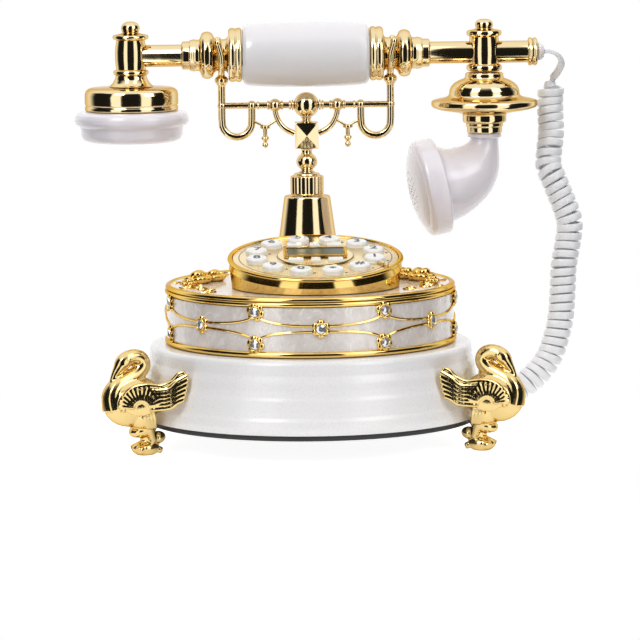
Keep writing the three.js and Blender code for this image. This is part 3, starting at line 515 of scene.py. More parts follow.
spark = n.noise(n.place(), 0.9, 2)
crystal = n.surface(Base_Color=n.colours(spark, (0.62, 0.63, 0.67, 1), (0.98, 0.98, 1.0, 1)), Metallic=0.75,
                    Roughness=spark * 0.08 + 0.02, Coat_Weight=1.0, Coat_Roughness=0.02)
finished("band_crystals", stones, crystal, "base", "glass", crease=5)

# ------------------------------------------------------------ deck
# The top of the drum: pearl enamel with a gold lip. Low scrolls of gold wire lie on it at the sides and the
# back, and a group of cast roses stands at each side of the dial.
DECK, SCROLL_RING = 87.7, 67.5
n = Nodes("deck_enamel")
fibre = n.noise(n.place((0, 0, 87)), 0.35, 5, 0.6)
deck_colour = n.make("ShaderNodeValToRGB", {"stops": [(0.3, (0.62, 0.48, 0.34)), (0.5, (0.80, 0.70, 0.60)),
                                                      (0.75, (0.93, 0.88, 0.83))]}, {0: fibre})
deck_enamel = n.surface(Base_Color=deck_colour, Roughness=fibre * 0.2 + 0.2, Coat_Weight=0.6, Coat_Roughness=0.08,
                        Normal=n.bump(fibre, 0.3, 0.0003))
finished("deck", turned([
    (0, 85.7), (79.1, 85.7), (79.1, 86.2), (78.6, 86.9), (77.4, 87.4), (0, 87.4)
], 0.15, 160), deck_enamel, "base", "pearl", "drum_top_plate")


def scroll(centre_r, turn, size, hand):
    """A C-scroll of tapering wire that curls in at its end."""
    path = []
    for i in range(26):
        t = i / 25
        reach, a = size * (1 - 0.84 * t), turn + hand * (0.4 + t * 7.4)
        path.append((centre_r * math.cos(turn) + reach * math.cos(a),
                     centre_r * math.sin(turn) + reach * math.sin(a),
                     DECK - 0.1, 0.25 + 0.45 * math.sin(math.pi * (0.12 + 0.8 * t))))
    return path


scrolls, leaves = [], bmesh.new()
for i in range(24):
    turn = math.radians(-35 + 250 * i / 23)
    hand, shift, leaf_r, lean = (1, 1.4, 6.4, 0.7) if i % 2 else (-1, -1.6, -6.0, -0.7)
    scrolls.append(scroll(SCROLL_RING + shift, turn, 5.8, hand))
    lump(leaves, spun(turn + 0.09, "Z") @ shifted(SCROLL_RING + leaf_r, 0, DECK - 0.2)
         @ spun(lean, "Z") @ stretched(2.4, 0.9, 0.7), 10, 6)
drawn(scrolls, 6, into=leaves)
joined(leaves, turned([(76.2, 87.3), (78.3, 86.2), (78.6, 85.7), (79.4, 85.75), (79.6, 86.6), (79.2, 87.5),
                       (78.2, 88.0), (76.8, 88.0)], 0.25, 160))
finished("deck_scrolls", leaves, rich_gold, "base", "satin_gold")

roses = bmesh.new()
for hand in (-1, 1):
    for cx, cy, size in ((61.5, 3, 1.0), (52.8, 14.5, 0.86), (66.5, -9.5, 0.55)):
        flower = shifted(hand * cx, cy, DECK) @ spun(hand * 0.5, "Z")
        for petals, reach, lift, wide, lean in ((4, 4.0, 1.6, 4.2, 0.35), (2, 1.8, 4.0, 3.6, 0.5)):
            for k in range(petals):
                petal = (flower @ spun(math.tau * k / petals + reach, "Z")
                         @ shifted(reach * size, 0, lift * size) @ spun(-lean, "Y")
                         @ stretched(wide * size, wide * 1.1 * size, 2.5 * size))
                lump(roses, petal, 20, 12)
finished("deck_roses", roses, rich_gold, "base", "gold")

# ------------------------------------------------------------ dial
# A gold ring with a polished wall, and in it a satin plate with fine turned grooves and a raised hub. The
# whole leans 9 degrees towards the user.
DIAL_AT, DIAL_LEAN, STOP_R = (2.5, -21, 104), math.radians(9), (44.2, 30.6)
DIAL = Matrix.Translation(DIAL_AT) @ spun(DIAL_LEAN, "X")
HUB_TOP, PLATE_TOP, KEY_RING, KEY_R, KEY_TOP = 0.7, -0.5, 33, 5.9, 2.4


def eased(bm, edges, offset, segments=2):
    """Rounds edges off."""
    bmesh.ops.bevel(bm, geom=edges, offset=offset, offset_type="OFFSET", segments=segments, profile=0.5,
                    affect="EDGES", material=-1)


def round_at(r, degrees):
    """A point on a circle round the middle of the dial."""
    return Vector((r * math.cos(math.radians(degrees)), r * math.sin(math.radians(degrees)), 0))


wall = turned([
    (42.9, -26), (45.2, -26), (45.8, -14), (46.7, -7.2), (47.1, -5.6), (46.5, -1.8), (47.6, -1.6), (47.9, -0.9),
    (47.5, -0.2), (46.8, 0), (45.3, 0), (45.1, -2.2), (42.9, -2.2)
], 0.15, 144, DIAL)
bmesh.ops.bisect_plane(wall, geom=wall.verts[:] + wall.edges[:] + wall.faces[:], plane_co=(0, 0, 88.0),
                       plane_no=(0, 0, 1), clear_inner=True)
bmesh.ops.bridge_loops(wall, edges=[e for e in wall.edges if e.is_boundary])
finished("dial_ring", wall, rich_gold, "base", "gold", "dial_housing")

n = Nodes("dial_satin")
flat = n.place(DIAL_AT, turn=(-DIAL_LEAN, 0, 0))
dx, dy = n.make("ShaderNodeSeparateXYZ", None, {0: flat}, 0), n.make("ShaderNodeSeparateXYZ", None, {0: flat}, 1)
radius = (dx * dx + dy * dy) ** 0.5
groove = radius.sum("SINE", radius * 9.0) * (radius > 21.5)
# Two dark rings, one on the hub's step and one in a groove near the rim: painted shade in the grooves.
line = (radius.sum("ABSOLUTE", radius - 41.6) < 0.28) + (radius.sum("ABSOLUTE", radius - 20.7) < 0.22)
brushed = n.noise(n.place((0, 0, 104)), 0.7, 4, 0.6)
dial_satin = n.surface(Base_Color=n.colours(line, n.colours(brushed, (0.86, 0.66, 0.34, 1), (0.96, 0.80, 0.48, 1)),
                                            (0.10, 0.07, 0.03, 1)),
                       Metallic=1.0, Roughness=brushed * 0.15 + 0.17,
                       Normal=n.bump(groove * 0.4 + brushed * 0.5 - line, 0.22, 0.0003))
KEY_ANGLES = [math.radians(-15 + 30 * i) for i in range(12)]
MENU = [(x, y, 8.2 if x else 5.3, 6.2 if y > 0 else 5.4) for y in (18.6, -11.3) for x in (-10.7, 0, 10.7)]
face = turned([
    (0, -1.9), (44.9, -1.9), (44.9, PLATE_TOP), (21.2, PLATE_TOP), (20.9, HUB_TOP - 0.3), (20.4, HUB_TOP),
    (0, HUB_TOP)
], 0.15, 144, DIAL)
stop_from, stop_to = round_at(STOP_R[0], -30), round_at(STOP_R[1], -12)
stop_run = stop_to - stop_from
bar = bmesh.new()
bmesh.ops.create_cube(bar, size=1, matrix=DIAL
                      @ Matrix.Translation((stop_from + stop_run / 2 + Vector((0, 0, 0.2))))
                      @ spun(math.atan2(stop_run.y, stop_run.x), "Z")
                      @ stretched(stop_run.length, 1.9, 1.5))
eased(bar, bar.edges[:], 0.35)
finished("dial_face", joined(face, bar), dial_satin, "base", "satin_gold", "dial_plate")

# Black dots by the keys stand for pinholes: dark discs as painted hole shade, not cut holes.
marks = bmesh.new()
for a in KEY_ANGLES:
    spot = DIAL @ shifted(KEY_RING * math.cos(a) + 7.1, KEY_RING * math.sin(a) - 0.6, PLATE_TOP)
    bmesh.ops.create_cone(marks, cap_ends=True, segments=16, radius1=0.8, radius2=0.75, depth=0.2, matrix=spot)
# Near-black for the keys' printed signs, and painted hole shade for the pinhole dots and the ear cap's holes.
dark_print = plain("dark_print", (0.03, 0.03, 0.035), (0.07, 0.07, 0.08), 2.5, 0.35)
finished("dial_marks", marks, dark_print, "base", "black")

# The display: a polished bezel round a dark window, which shows faint unlit segments.
bezel = bmesh.new()
bmesh.ops.create_grid(bezel, x_segments=1, y_segments=1, size=0.5,
                      matrix=DIAL @ shifted(0, 3.6, 2.1) @ stretched(34.7, 18, 1))
bmesh.ops.inset_region(bezel, faces=bezel.faces[:], thickness=1.6, use_even_offset=True, use_boundary=True)
bmesh.ops.delete(bezel, geom=[max(bezel.faces, key=lambda f: f.calc_area())], context="FACES")
bmesh.ops.solidify(bezel, geom=bezel.faces[:], thickness=1.1)
bmesh.ops.recalc_face_normals(bezel, faces=bezel.faces)
eased(bezel, [e for e in bezel.edges if e.calc_face_angle(0) > 0.7], 0.3)
finished("display_frame", bezel, rich_gold, "base", "gold", "display_bezel")

n = Nodes("display_window")
flat = n.place(DIAL_AT, turn=(-DIAL_LEAN, 0, 0))
cells = n.make("ShaderNodeTexBrick", None, {"Vector": flat, "Scale": 0.34, "Color1": (0.10, 0.11, 0.065, 1),
                                           "Color2": (0.13, 0.14, 0.085, 1), "Mortar": (0.06, 0.065, 0.04, 1),
                                           "Mortar Size": 0.03})
painted(n.surface(Base_Color=cells, Roughness=n.noise(n.place(), 0.8, 2) * 0.05 + 0.22, Specular_IOR_Level=0.12),
        "display_glass")

# ------------------------------------------------------------ keys
# Twelve round keys and six small ones of milky plastic, which slide through the plate. Each round key has its
# sign printed in dark grey.
n = Nodes("key_plastic")
milk = n.noise(n.place(), 0.25, 3)
key_plastic = n.surface(Base_Color=n.colours(milk, (0.90, 0.89, 0.87, 1), (0.96, 0.95, 0.93, 1)),
                        Roughness=milk * 0.1 + 0.2, Normal=n.bump(n.noise(n.place(), 1.5, 2), 0.08, 0.0001),
                        Coat_Weight=0.4, Coat_Roughness=0.1, Subsurface_Weight=0.25, Subsurface_Scale=0.002)
KEYS = [*(str(i) for i in range(1, 10)), "0", "star", "hash"]
for sign, a in zip(KEYS, KEY_ANGLES):
    spot = DIAL @ shifted(KEY_RING * math.cos(a), KEY_RING * math.sin(a), 0)
    finished(f"cap_{sign}", turned([(0, -5.2), (2, -5.2), (2, -3.2), (6.4, -3.2), (6.4, -2.3), (KEY_R, -2.3),
                                    (KEY_R, KEY_TOP - 1.1), (5.5, KEY_TOP - 0.45), (4.8, KEY_TOP - 0.1),
                                    (2.5, KEY_TOP), (0, KEY_TOP)], 0.2, 48, spot),
             key_plastic, f"key_{sign}", "key_white", f"key_{sign}")
    letters = bpy.data.curves.new("sign", "FONT")
    letters.body = {"star": "*", "hash": "#"}.get(sign, sign)
    letters.size, letters.extrude, letters.resolution_u, letters.offset = 8.2, 0.06, 4, 0.2
    letters.align_x, letters.align_y = "CENTER", "CENTER"
    print_mesh = mesh_of(bpy.data.objects.new("sign", letters))
    ink = bmesh.new()
    ink.from_mesh(print_mesh)
    bmesh.ops.remove_doubles(ink, verts=ink.verts, dist=1e-4)
    middle = sum((v.co for v in ink.verts), Vector()) / len(ink.verts)
    down = -middle.y if sign == "star" else 0
    bmesh.ops.transform(ink, matrix=spot @ shifted(-middle.x, down, KEY_TOP), verts=ink.verts)
    bpy.data.meshes.remove(print_mesh)
    finished(f"sign_{sign}", ink, dark_print, f"key_{sign}", "black")

for (mx, my, wide, deep), name in zip(MENU, ("rear_left", "rear_middle", "rear_right",
                                             "front_left", "front_middle", "front_right")):
    top = KEY_TOP if my > 0 else HUB_TOP + 1.4
    button = bmesh.new()
    for w, d, low_z, high_z in ((wide, deep, -2.4, top), (wide + 1.2, deep + 1.2, -3.2, -2.35),
                                (3, 3, -5.2, -3.1)):
        block = bmesh.new()
        bmesh.ops.create_cube(block, size=1, matrix=DIAL @ shifted(mx, my, (low_z + high_z) / 2)
                              @ stretched(w, d, high_z - low_z))
        eased(block, block.edges[:], 0.7 if high_z > 0 else 0.1, 4)
        joined(button, block)
    finished(f"button_{name}", button, key_plastic, f"menu_{name}", "key_white", f"menu_{name}")

painted(key_plastic, "handset_plug")

# ------------------------------------------------------------ pillar
# A plain plated cone behind the dial, with a fluted collar on top. The cradle's stem slides through both.
PILLAR_Y, FLUTES, FLUTE_DEPTH = 47.5, 16, 0.045
PILLAR = shifted(0, PILLAR_Y, 0)
finished("cone", turned([
    (16.4, 88), (18.4, 88), (18.5, 89.2), (12.9, 130.2), (12.4, 131.0), (11.6, 131.2), (3.1, 131.2),
    (3.1, 128.8), (10.9, 128.8)
], 0.25, 112, PILLAR), gold, "base", "gold", "pillar_cone")
collar = turned([
    (3.1, 131.5), (8.3, 131.5), (8.8, 131.8), (9.1, 132.6), (9.1, 141.6), (8.7, 142.2), (7.5, 142.4),
    (7.2, 143.0), (6.8, 143.7), (3.1, 143.7)
], 0.15, 128)
for v in collar.verts:
    if v.co.xy.length > 8 and 132.1 < v.co.z < 142.0:
        v.co.xy *= 1 + FLUTE_DEPTH * (abs(math.cos(FLUTES / 2 * math.atan2(v.co.y, v.co.x))) - 0.55)
bmesh.ops.transform(collar, matrix=PILLAR, verts=collar.verts)
finished("collar", collar, gold, "base", "gold", "pillar_collar")

# ------------------------------------------------------------ cradle
# The hook that carries the handset: a turned stem, a block with a low pyramid on its front and back, and a
# fork bent from plated rod. It rises 4 mm when the handset is lifted.
FORK, HAND = 181.8, 210.1
stem = turned([
    (0, 98.6), (2.6, 98.6), (2.6, 112.1), (5.2, 112.1), (5.2, 113.7), (2.6, 113.7), (2.6, 144.0), (4.5, 144.0),
    (4.4, 144.5), (3.3, 145.0), (3.3, 145.9), (4.4, 146.8), (5.3, 147.8), (5.8, 149.3), (5.8, 150.6),
    (5.4, 152.0), (4.5, 153.3), (3.2, 154.3), (2.9, 155.2), (2.9, 156.5), (3.6, 157.4), (0, 157.4)
], 0.2, 56, PILLAR)
finished("stem", stem, gold, "cradle", "gold", "cradle_stem")

block = bmesh.new()
bmesh.ops.create_cube(block, size=1,
                      matrix=shifted(0, 0, 164.9) @ stretched(12.9, 12.9, 14.4))
eased(block, block.edges[:], 0.4)
for flat_side in sorted(block.faces, key=lambda f: -f.calc_area())[:6]:
    if abs(flat_side.normal.y) > 0.9:
        out = flat_side.normal.copy()
        for v in bmesh.ops.poke(block, faces=[flat_side])["verts"]:
            v.co += out * 2.4
joined(block, turned([(0, 171.4), (3.4, 171.4), (3.4, 172.5), (2.4, 173.3), (2.4, 174.2), (3.2, 175.1),
                      (0, 175.1)], 0.15, 40))
bmesh.ops.transform(block, matrix=PILLAR, verts=block.verts)
finished("hook_block", block, gold, "cradle", "gold", "cradle_block", crease=20)

ARM, LOOP, SADDLE, BALL_R = 47.1, 30.4, 10.9, 7.1
DROP = [
    (0, -11.9), (0.9, -11.7), (1.6, -10.8), (1.75, -10.0), (1.3, -9.0), (0.8, -8.6), (1.6, -7.6), (2.3, -6.4),
    (1.9, -5.6), (1.2, -5.2), (1.2, -1.4), (2.8, -0.9), (2.8, 0.3), (0, 0.6)
]
SEAT = [(0, -5.6), (1.9, -5.4), (2.4, -4.2), (3.7, -2.4), (3.8, -0.8), (2.9, 0.4), (2.0, 0.8), (0, 0.8)]
ball = [(BALL_R * math.cos(math.radians(a)), BALL_R * math.sin(math.radians(a))) for a in range(-63, 87, 6)]
fork = turned([(0, ball[0][1]), *ball, (0, BALL_R)], 0, 56, shifted(0, 0, FORK))
for hand in (-1, 1):
    loop = [(ARM, 0, HAND - SADDLE), (ARM, 0, FORK + 4), (ARM, 0, FORK - 7)]
    for k in range(1, 12):
        a = math.pi * k / 12
        loop.append(((ARM + LOOP) / 2 + (ARM - LOOP) / 2 * math.cos(a), 0,
                     FORK - 9.2 - (ARM - LOOP) / 2 * math.sin(a)))
    loop += [(LOOP, 0, FORK - 7), (LOOP, 0, FORK)]
    saddle = [(ARM + 1.8, -SADDLE - 1.1, HAND + 7.4), (ARM + 0.9, -SADDLE - 0.3, HAND + 3.6)]
    saddle += [(ARM, -SADDLE * math.cos(math.pi * k / 14), HAND - SADDLE * math.sin(math.pi * k / 14))
               for k in range(15)]
    saddle += [(ARM + 0.9, SADDLE + 0.3, HAND + 3.6), (ARM + 1.8, SADDLE + 1.1, HAND + 7.4)]
    curl = [(17.4, 0, FORK - 1), (17.0, 0, FORK - 5), (15.2, 0, FORK - 9.5), (12, 0, FORK - 13.2),
            (6.8, 0, FORK - 16)]
    swag = [(LOOP, 0, FORK - 8.4), (26.4, 0, FORK - 10.4), (23.1, 0, FORK - 11.9), (19.8, 0, FORK - 10.4),
            (16.6, 0, FORK - 8.4)]
    rods = [[(*p, 2.05) for p in loop],
            [(*p, 1.8) for p in flowing(saddle, 3)],
            [(*p, 1.6) for p in flowing(curl, 4)],
            [(*p, 0.75) for p in flowing(swag, 4)],
            [(2, 0, FORK, 1.75), (ARM, 0, FORK, 1.75)]]
    half_fork = drawn(rods, 14)
    for x_at, r in ((LOOP, 2.7), (17.4, 3.6), (ARM, 2.4)):
        lump(half_fork, shifted(x_at, 0, FORK), 32, 20, r)
    for tip in (saddle[0], saddle[-1]):
        lump(half_fork, Matrix.Translation(tip), 20, 12, 2.1)
    lying = shifted(0, 0, FORK) @ spun(math.pi / 2, "Y")
    for low_x, high_x, r in ((7.2, 8.0, 3.0), (8.6, 9.6, 2.6), (13, 14.2, 2.5), (20.6, 21.8, 2.5),
                             (26.4, 27.2, 2.3)):
        joined(half_fork, turned([(0, low_x), (r, low_x), (r, high_x), (0, high_x)], 0.3, 32, lying))
    joined(half_fork, turned(DROP, 0.15, 28, shifted(23.1, 0, FORK - 11.9)),
           turned(SEAT, 0.2, 36, shifted(ARM, 0, HAND - SADDLE - 1.6)))
    bmesh.ops.scale(half_fork, vec=(hand, 1, 1), verts=half_fork.verts)
    joined(fork, half_fork)
bmesh.ops.transform(fork, matrix=PILLAR, verts=fork.verts)
finished("fork", fork, gold, "cradle", "gold", "cradle_fork")

# ------------------------------------------------------------ handset bar
# A white grip between two gold collars, on a gold tube with turned beads that reaches out to the receiver on
# the left and to the horn on the right.
HANDSET = shifted(0, PILLAR_Y, HAND)
ALONG = HANDSET @ spun(math.pi / 2, "Y")
LEFT = HANDSET @ spun(-math.pi / 2, "Y")
grip_white = moulded_white("grip_white", (0.92, 0.90, 0.91), (0.86, 0.84, 0.87), 0.16)
finished("grip_sleeve", turned([
    (6.4, -35.4), (13.8, -35.4), (15.6, -34.8), (16.8, -33.4), (17.4, -29.6), (17.9, -20), (18.2, -8), (18.2, 8),
    (17.9, 20), (17.4, 29.6), (16.8, 33.4), (15.6, 34.8), (13.8, 35.4), (6.4, 35.4)
], 0.5, 112, ALONG), grip_white, "handset", "ivory", "grip")
ring = [
    (6.4, 35.7), (14.2, 35.7), (15, 36.3), (15.2, 37.4), (14.9, 38.6), (14.5, 39.2), (14.9, 39.8), (15.1, 41.2),
    (14.7, 42.4), (13.8, 43.1), (6.4, 43.1)
]
finished("ring_left", turned(ring, 0.2, 96, LEFT), gold, "handset", "gold", "grip_collar_left")
finished("ring_right", turned(ring, 0.2, 96, ALONG), gold, "handset", "gold", "grip_collar_right")
beads = [
    (0, 0.15), (6.1, 0.15), (6.1, 43.4), (10.6, 43.4), (10.3, 43.6), (9.4, 44.0), (8.8, 45.2), (8.8, 49.6),
    (9.4, 50.6), (10.6, 51.3), (12.2, 52.1), (13.0, 53.6), (13.2, 55.0), (13.0, 56.4), (12.2, 57.8),
    (10.6, 58.5), (9.2, 59.0), (8.7, 59.6), (8.7, 61.4), (9.0, 62.2), (8.7, 63.2), (8.5, 64.4), (7.8, 64.9),
    (7.8, 68.4), (7.2, 69.0), (6.1, 69.3)
]
finished("tube_left", turned([*beads, (6.1, 97.4), (0, 97.4)], 0.25, 72, LEFT),
         gold, "handset", "gold", "ear_tube")
gland_seat = [(6.1, 124.0), (7.6, 124.3), (7.9, 125.2), (7.6, 126.2), (7.0, 126.6), (7.6, 127.0), (7.9, 127.8),
              (7.6, 128.7), (6.6, 129.3), (0, 129.3)]
finished("tube_right", turned([*beads, *gland_seat], 0.2, 72, ALONG), gold, "handset", "gold", "mouth_tube")
finished("gland", turned([
    (0, 129.6), (4.8, 129.6), (5.0, 130.1), (4.9, 131.2), (3.9, 132.4), (3.4, 133.0), (0, 133.0)
], 0.2, 40, ALONG), key_plastic, "handset", "cord", "cord_gland")

# ------------------------------------------------------------ receiver
# A turned barrel with a finial at the left end of the bar, a gold cup under it and a white ear cap that is
# screwed into the cup. The cap has rings of fine holes.
HEAD, EAR_X, HORN_X = 208.3, -97.4, 99.6
EAR = HANDSET @ shifted(EAR_X, 0, -HEAD)
finished("ear_post", turned([
    (0, 191.6), (12.6, 191.6), (11.6, 192.2), (10.4, 193.4), (9.2, 195.4), (8.5, 197.6), (9.6, 198.3),
    (10.0, 199.3), (9.6, 200.3), (8.2, 200.9), (8.5, 203), (8.8, 206), (8.8, 211), (8.4, 214.5), (7.9, 217.2),
    (9.6, 217.8), (10.1, 218.9), (9.6, 220.0), (7.4, 220.5), (5.6, 220.9), (4.4, 221.5), (4.9, 222.4),
    (5.3, 223.7), (4.9, 225.3), (3.8, 226.6), (2.0, 227.4), (0, 227.6)
], 0.2, 80, EAR), gold, "handset", "gold", "ear_barrel")
finished("ear_dish", turned([
    (0, 188.8), (24.3, 188.8), (24.3, 178.2), (25.6, 178.2), (26.1, 178.8), (26.0, 180.2), (25.5, 181.0),
    (26.1, 181.8), (26.1, 187.0), (25.6, 189.0), (24.2, 190.3), (22.4, 190.9), (14, 191.3), (0, 191.3)
], 0.25, 112, EAR), gold, "handset", "gold", "ear_cup")
cap_white = moulded_white("cap_white", (0.93, 0.89, 0.94), (0.89, 0.84, 0.91), 0.18)
finished("ear_shell", turned([
    (0, 162.4), (8, 162.0), (15, 160.9), (21, 160.5), (24.6, 161.0), (27.0, 162.2), (28.2, 164.2), (28.5, 168.0),
    (29.0, 169.4), (30.8, 170.4), (31.8, 172.0), (31.8, 174.2), (31.0, 176.2), (29.4, 177.4), (27.2, 177.9),
    (24, 177.9), (24, 165.4), (0, 165.4)
], 0.4, 112, EAR), cap_white, "handset", "ivory", "ear_cap")


def pierced(rings, r, sides, place):
    """Small discs in rings of (radius, count, height, lean), laid on a cap and coloured dark as painted shade for
    its holes.
    """
    bm = bmesh.new()
    for ring_r, count, height, lean in rings:
        for k in range(count):
            a = math.tau * k / count
            bmesh.ops.create_cone(bm, cap_ends=True, segments=sides, radius1=r, radius2=r, depth=0.3, matrix=place
                                  @ shifted(ring_r * math.cos(a), ring_r * math.sin(a), height)
                                  @ spun(a if lean else 0, "Z") @ spun(lean, "Y"))
    return bm


# The ear cap's holes are near-black discs: painted hole shade.
holes = pierced([(r, count, 162.3 - 0.016 * r - 0.0085 * r * max(r - 7, 0), 0)
                 for r, count in ((0, 1), (4, 6), (8, 12), (12, 18))], 0.7, 12, EAR)
finished("ear_holes", holes, dark_print, "handset", "black")

# ------------------------------------------------------------ horn
# The mouthpiece: a gold barrel and a wide flange, a white horn that bends towards the mouth, and a domed cap
# with fine holes.
MOUTH = HANDSET @ shifted(HORN_X, 0, -HEAD)
finished("mouth_post", turned([
    (0, 197.6), (8.2, 197.7), (9.6, 198.4), (10.0, 199.7), (9.6, 201.0), (8.2, 201.8), (8.4, 203.5), (8.7, 206),
    (8.7, 211), (8.3, 214.5), (8.1, 217), (9.5, 217.8), (9.9, 219.0), (9.5, 220.3), (7.4, 220.8), (5.6, 221.1),
    (4.6, 221.6), (4.9, 222.6), (5.1, 223.7), (4.7, 225.0), (3.6, 226.1), (1.8, 226.7), (0, 226.8)
], 0.2, 80, MOUTH), gold, "handset", "gold", "mouth_barrel")
finished("horn_flange", turned([
    (0, 163.2), (9.4, 163.2), (9.8, 163.8), (9.8, 166.6), (10.4, 167.2), (10.4, 168.8), (11.8, 169.2),
    (12.2, 170.2), (12.2, 173.2), (12.8, 174.0), (17, 174.9), (21.5, 175.7), (26.0, 176.5), (28.8, 177.6),
    (29.7, 178.7), (29.7, 180.7), (28.9, 181.6), (26.5, 182.3), (22.8, 183), (20.9, 183.6), (19.8, 184.6),
    (19.5, 187.2), (18.6, 189.3), (16.8, 191.2), (14.0, 192.8), (11.2, 193.8), (10.7, 194.6), (10.7, 196.2),
    (9.9, 197.0), (8.1, 197.3), (0, 197.3)
], 0.3, 112, MOUTH), gold, "handset", "gold", "mouth_flange")
SECTIONS = [
    (0, 162.9, 9.5, 0), (0, 161.0, 9.5, 0), (-0.05, 160.2, 7.9, 3), (-0.3, 157.0, 8.4, 12),
    (-0.7, 153.6, 9.8, 25), (-2.4, 149.2, 12.4, 34), (-5.4, 145.2, 15.0, 43), (-8.6, 142.0, 16.8, 50),
    (-12.5, 139.5, 18.3, 57), (-16.6, 137.3, 19.8, 66), (-20.6, 135.6, 20.9, 74), (-25.8, 134.4, 21.9, 78.6)
]
TURN_HORN = MOUTH @ spun(math.radians(8), "Z")
horn, loops = bmesh.new(), []
for sx, sz, r, lean in [*SECTIONS[:2], *flowing(SECTIONS[2:], 3)]:
    circle = bmesh.ops.create_circle(horn, cap_ends=False, radius=r, segments=80, matrix=TURN_HORN
                                     @ shifted(sx, 0, sz)
                                     @ spun(math.radians(lean), "Y"))
    loops.append(circle["verts"])
for one, two in zip(loops, loops[1:]):
    ring_edges = {e for v in (*one, *two) for e in v.link_edges if not e.link_faces or e.is_boundary}
    both = set(one) | set(two)
    bmesh.ops.bridge_loops(horn, edges=[e for e in ring_edges if e.verts[0] in both and e.verts[1] in both])
for rim in (loops[0], loops[-1]):
    bmesh.ops.contextual_create(horn, geom=rim)
finished("horn_body", horn, cap_white, "handset", "ivory", "horn", crease=45)
CAP = TURN_HORN @ shifted(-25.2, 0, 134.5) @ spun(math.radians(258.6), "Y")
finished("horn_lid", turned([
    (22.6, 0), (26.2, 0), (27, 0.9), (27.1, 5), (27, 9.4), (26.4, 10.8), (25.2, 11.8), (23.6, 12.4),
    (22.6, 12.5), (21.4, 13.6), (18, 15.0), (13, 16.2), (7, 17.0), (0, 17.2), (0, 9.6), (22.6, 9.6)
], 0.3, 112, CAP), cap_white, "handset", "ivory", "horn_cap")
holes = pierced([(r, count, 17.2 - 0.0042 * r * r - 0.00002 * r ** 4, 0.009 * r)
                 for r, count in ((0, 1), (3.6, 6), (7.2, 12), (10.8, 18), (14.4, 24))], 0.45, 10, CAP)
n = Nodes("hole_shade")
speck = n.noise(n.place(), 1.2, 2)
hole_shade = n.surface(Base_Color=n.colours(speck, (0.42, 0.37, 0.42, 1), (0.52, 0.47, 0.52, 1)), Roughness=0.6)
finished("horn_holes", holes, hole_shade, "handset", "ivory")

# ------------------------------------------------------------ swan feet
# Three gold-plated castings under the plinth's edge. Each is a swan with its neck bent down to its breast and
# its wings laid back along the plinth, on a clawed foot.
SWAN_VOXEL = 0.5
NECK = [
    (118.2, 0, 27, 8.0), (119.6, 0, 33, 6.6), (117.2, 0, 38, 5.4), (111.6, 0, 41.4, 4.8), (105.6, 0, 44.6, 4.6),
    (102.4, 0, 48.6, 4.5), (103.6, 0, 52.3, 4.4), (107.6, 0, 53.6, 4.3), (111.6, 0, 52.6, 4.3),
    (114.4, 0, 50.4, 4.2), (116.6, 0, 47.6, 3.0), (118.8, 0, 44.4, 2.1), (120.6, 0, 41.0, 1.3)
]
BODY = [((108.5, 0, 29.5), (17, 10.4, 13.6), 0.15), ((104.2, 0, 21.6), (7.6, 11.6, 8.2), 0),
        ((102.4, 0, 14.3), (8.4, 7.4, 4.2), 0.3), ((98.8, 0, 8.8), (5.2, 5.0, 5.2), 0.2),
        ((101.2, 0, 3.6), (7.6, 6.6, 4.4), 0), ((94.6, 0, 8.8), (5.0, 5.4, 3.4), 0.3)]
swan = drawn([flowing(NECK, 5)], 16)
for at, size, lean in BODY:
    lump(swan, Matrix.Translation(at) @ spun(lean, "Y") @ stretched(*size), 28, 18)
toes = [[(100, s * 1.2, 4.2, 2.6), (104.6, s * 3.4, 4.0, 2.5), (107.4, s * 4.6, 2.7, 2.2)] for s in (-1, 0, 1)]
toes += [[(95.5, s * 3, 3.2, 2.0), (93.6, s * 4.6, 2.2, 1.8)] for s in (-1, 1)]
LEG = [(103.8, 8.2, 24, 2.6), (102.6, 7.4, 17.4, 2.2), (100.4, 5.2, 12, 2.2), (98.4, 3.8, 7.4, 2.0)]
shank = [[(u, s * v, z, r) for u, v, z, r in LEG] for s in (-1, 1)]
thigh = [[(106.8 - 1.6 * k, s * (10.6 + 0.4 * k), 27.4 - 0.6 * k, 0.95),
          (106.6 - 2.0 * k, s * 11.6, 21.5 - 0.4 * k, 0.95), (103.6 - 1.4 * k, s * 9.0, 15.6, 0.95)]
         for s in (-1, 1) for k in range(4)]
joined(swan, drawn([flowing(p, 4) for p in toes + shank + thigh], 12))
for s in (-1, 1):
    lump(swan, shifted(112.2, s * 3.9, 52.6), 10, 8, 0.75)
# A wing as a plate with raised feathers, in its own plane: run back from the shoulder, and height.
ROOT, WING_BACK = Vector((118.6, 7.6, 0)), math.radians(147.8)
feathers = []
for k in range(6):
    t = k / 5
    start, mid_way = (13.5 + 2.2 * t, 37.4 - 10.6 * t), (24.5 + 1.6 * t, 37.6 - 9.6 * t)
    tip = (36.6 - 2.2 * t * t, 45.6 - 13.2 * t)
    near_tip = ((mid_way[0] + tip[0]) / 2, (mid_way[1] + tip[1]) / 2 + 0.5, 1.45)
    line = flowing([(*start, 1.1), (*mid_way, 1.3), near_tip, (*tip, 1.1)], 6)
    feathers.append([(s, 1.5, z, r) for s, z, r in line])
arch = flowing([(1.0, 25.5, 1.5), (0.8, 30.5, 1.6), (3.0, 35.6, 1.6), (7.6, 38.9, 1.6), (14, 40.0, 1.5),
                (21.6, 39.6, 1.4), (27.8, 42.6, 1.4), (31.4, 46.0, 1.5), (34.8, 47.0, 1.3)], 5)
feathers.append([(s, 0.9, z, r) for s, z, r in arch])
wing = drawn(feathers, 10)
ribs = []
for k in range(13):
    a = math.radians(172 - 150 * k / 12)
    ribs.append([(11.2 + reach * math.cos(a), out, 27.2 + reach * math.sin(a) * 0.95, r)
                 for reach, out, r in ((4.0, 2.0, 0.6), (7.0, 2.1, 0.8), (10.0, 1.9, 1.0), (12.8, 1.4, 1.1))])
drawn(ribs, 10, into=wing)
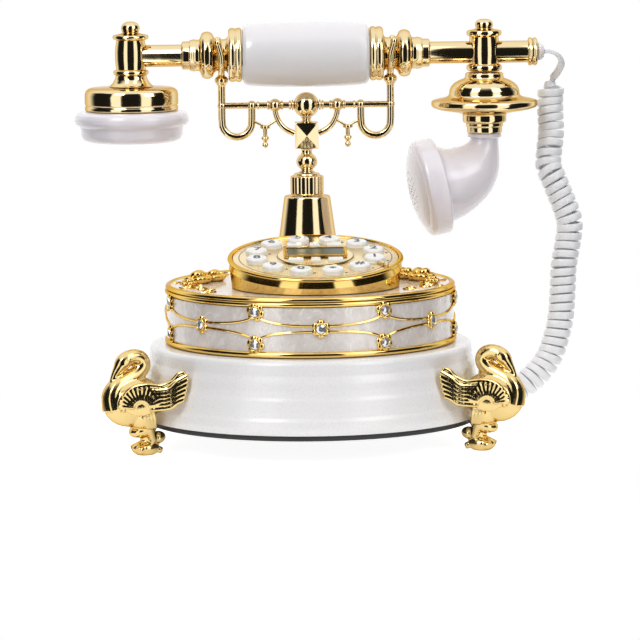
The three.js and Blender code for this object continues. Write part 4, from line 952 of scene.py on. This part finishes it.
for s, z, rs, rz in ((11.5, 31, 10.4, 7.6), (20, 33.2, 9.5, 5.2), (27.5, 36.4, 8.4, 5.6)):
    lump(wing, shifted(s, 0.2, z) @ spun(-0.3, "Y") @ stretched(rs, 1.5, rz),
         24, 14)
bmesh.ops.transform(wing, verts=wing.verts, matrix=Matrix.Translation(ROOT) @ spun(WING_BACK, "Z")
                    @ stretched(1, -1, 1))
other = wing.copy()
bmesh.ops.scale(other, vec=(1, -1, 1), verts=other.verts)
joined(swan, wing, other)
bmesh.ops.recalc_face_normals(swan, faces=swan.faces)
rough_mesh = bpy.data.meshes.new("swan_rough")
swan.to_mesh(rough_mesh)
swan.free()
casting = bpy.data.objects.new("swan_rough", rough_mesh)
skin = casting.modifiers.new("skin", "REMESH")
skin.mode, skin.voxel_size = "VOXEL", SWAN_VOXEL
soft = casting.modifiers.new("soft", "SMOOTH")
soft.factor, soft.iterations = 0.5, 2
swan_mesh = mesh_of(casting)
for name, turn in (("left", -154), ("right", -26), ("rear", 90)):
    foot = bmesh.new()
    foot.from_mesh(swan_mesh)
    bmesh.ops.bisect_plane(foot, geom=foot.verts[:] + foot.edges[:] + foot.faces[:], plane_co=(0, 0, 0),
                           plane_no=(0, 0, 1), clear_inner=True)
    bmesh.ops.holes_fill(foot, edges=[e for e in foot.edges if e.is_boundary], sides=0)
    bmesh.ops.transform(foot, matrix=spun(math.radians(turn), "Z"), verts=foot.verts)
    finished(f"swan_{name}", foot, cast_gold, "base", "gold", f"swan_foot_{name}", crease=60)

# ------------------------------------------------------------ inside
# What the housings hide: boards, speaker, spring and sound capsules. They are shown as their plain solids, in
# plain finishes.
painted(plain("board_lacquer", (0.02, 0.16, 0.07), (0.05, 0.26, 0.12), 0.4, 0.35), "main_board", "keypad_board")
painted(plain("plain_steel", (0.55, 0.56, 0.58), (0.68, 0.69, 0.71), 0.6, 0.28, stretch=(1, 1, 6), Metallic=1.0),
        "ringer_speaker", "hook_spring", "receiver_capsule", "microphone_capsule")
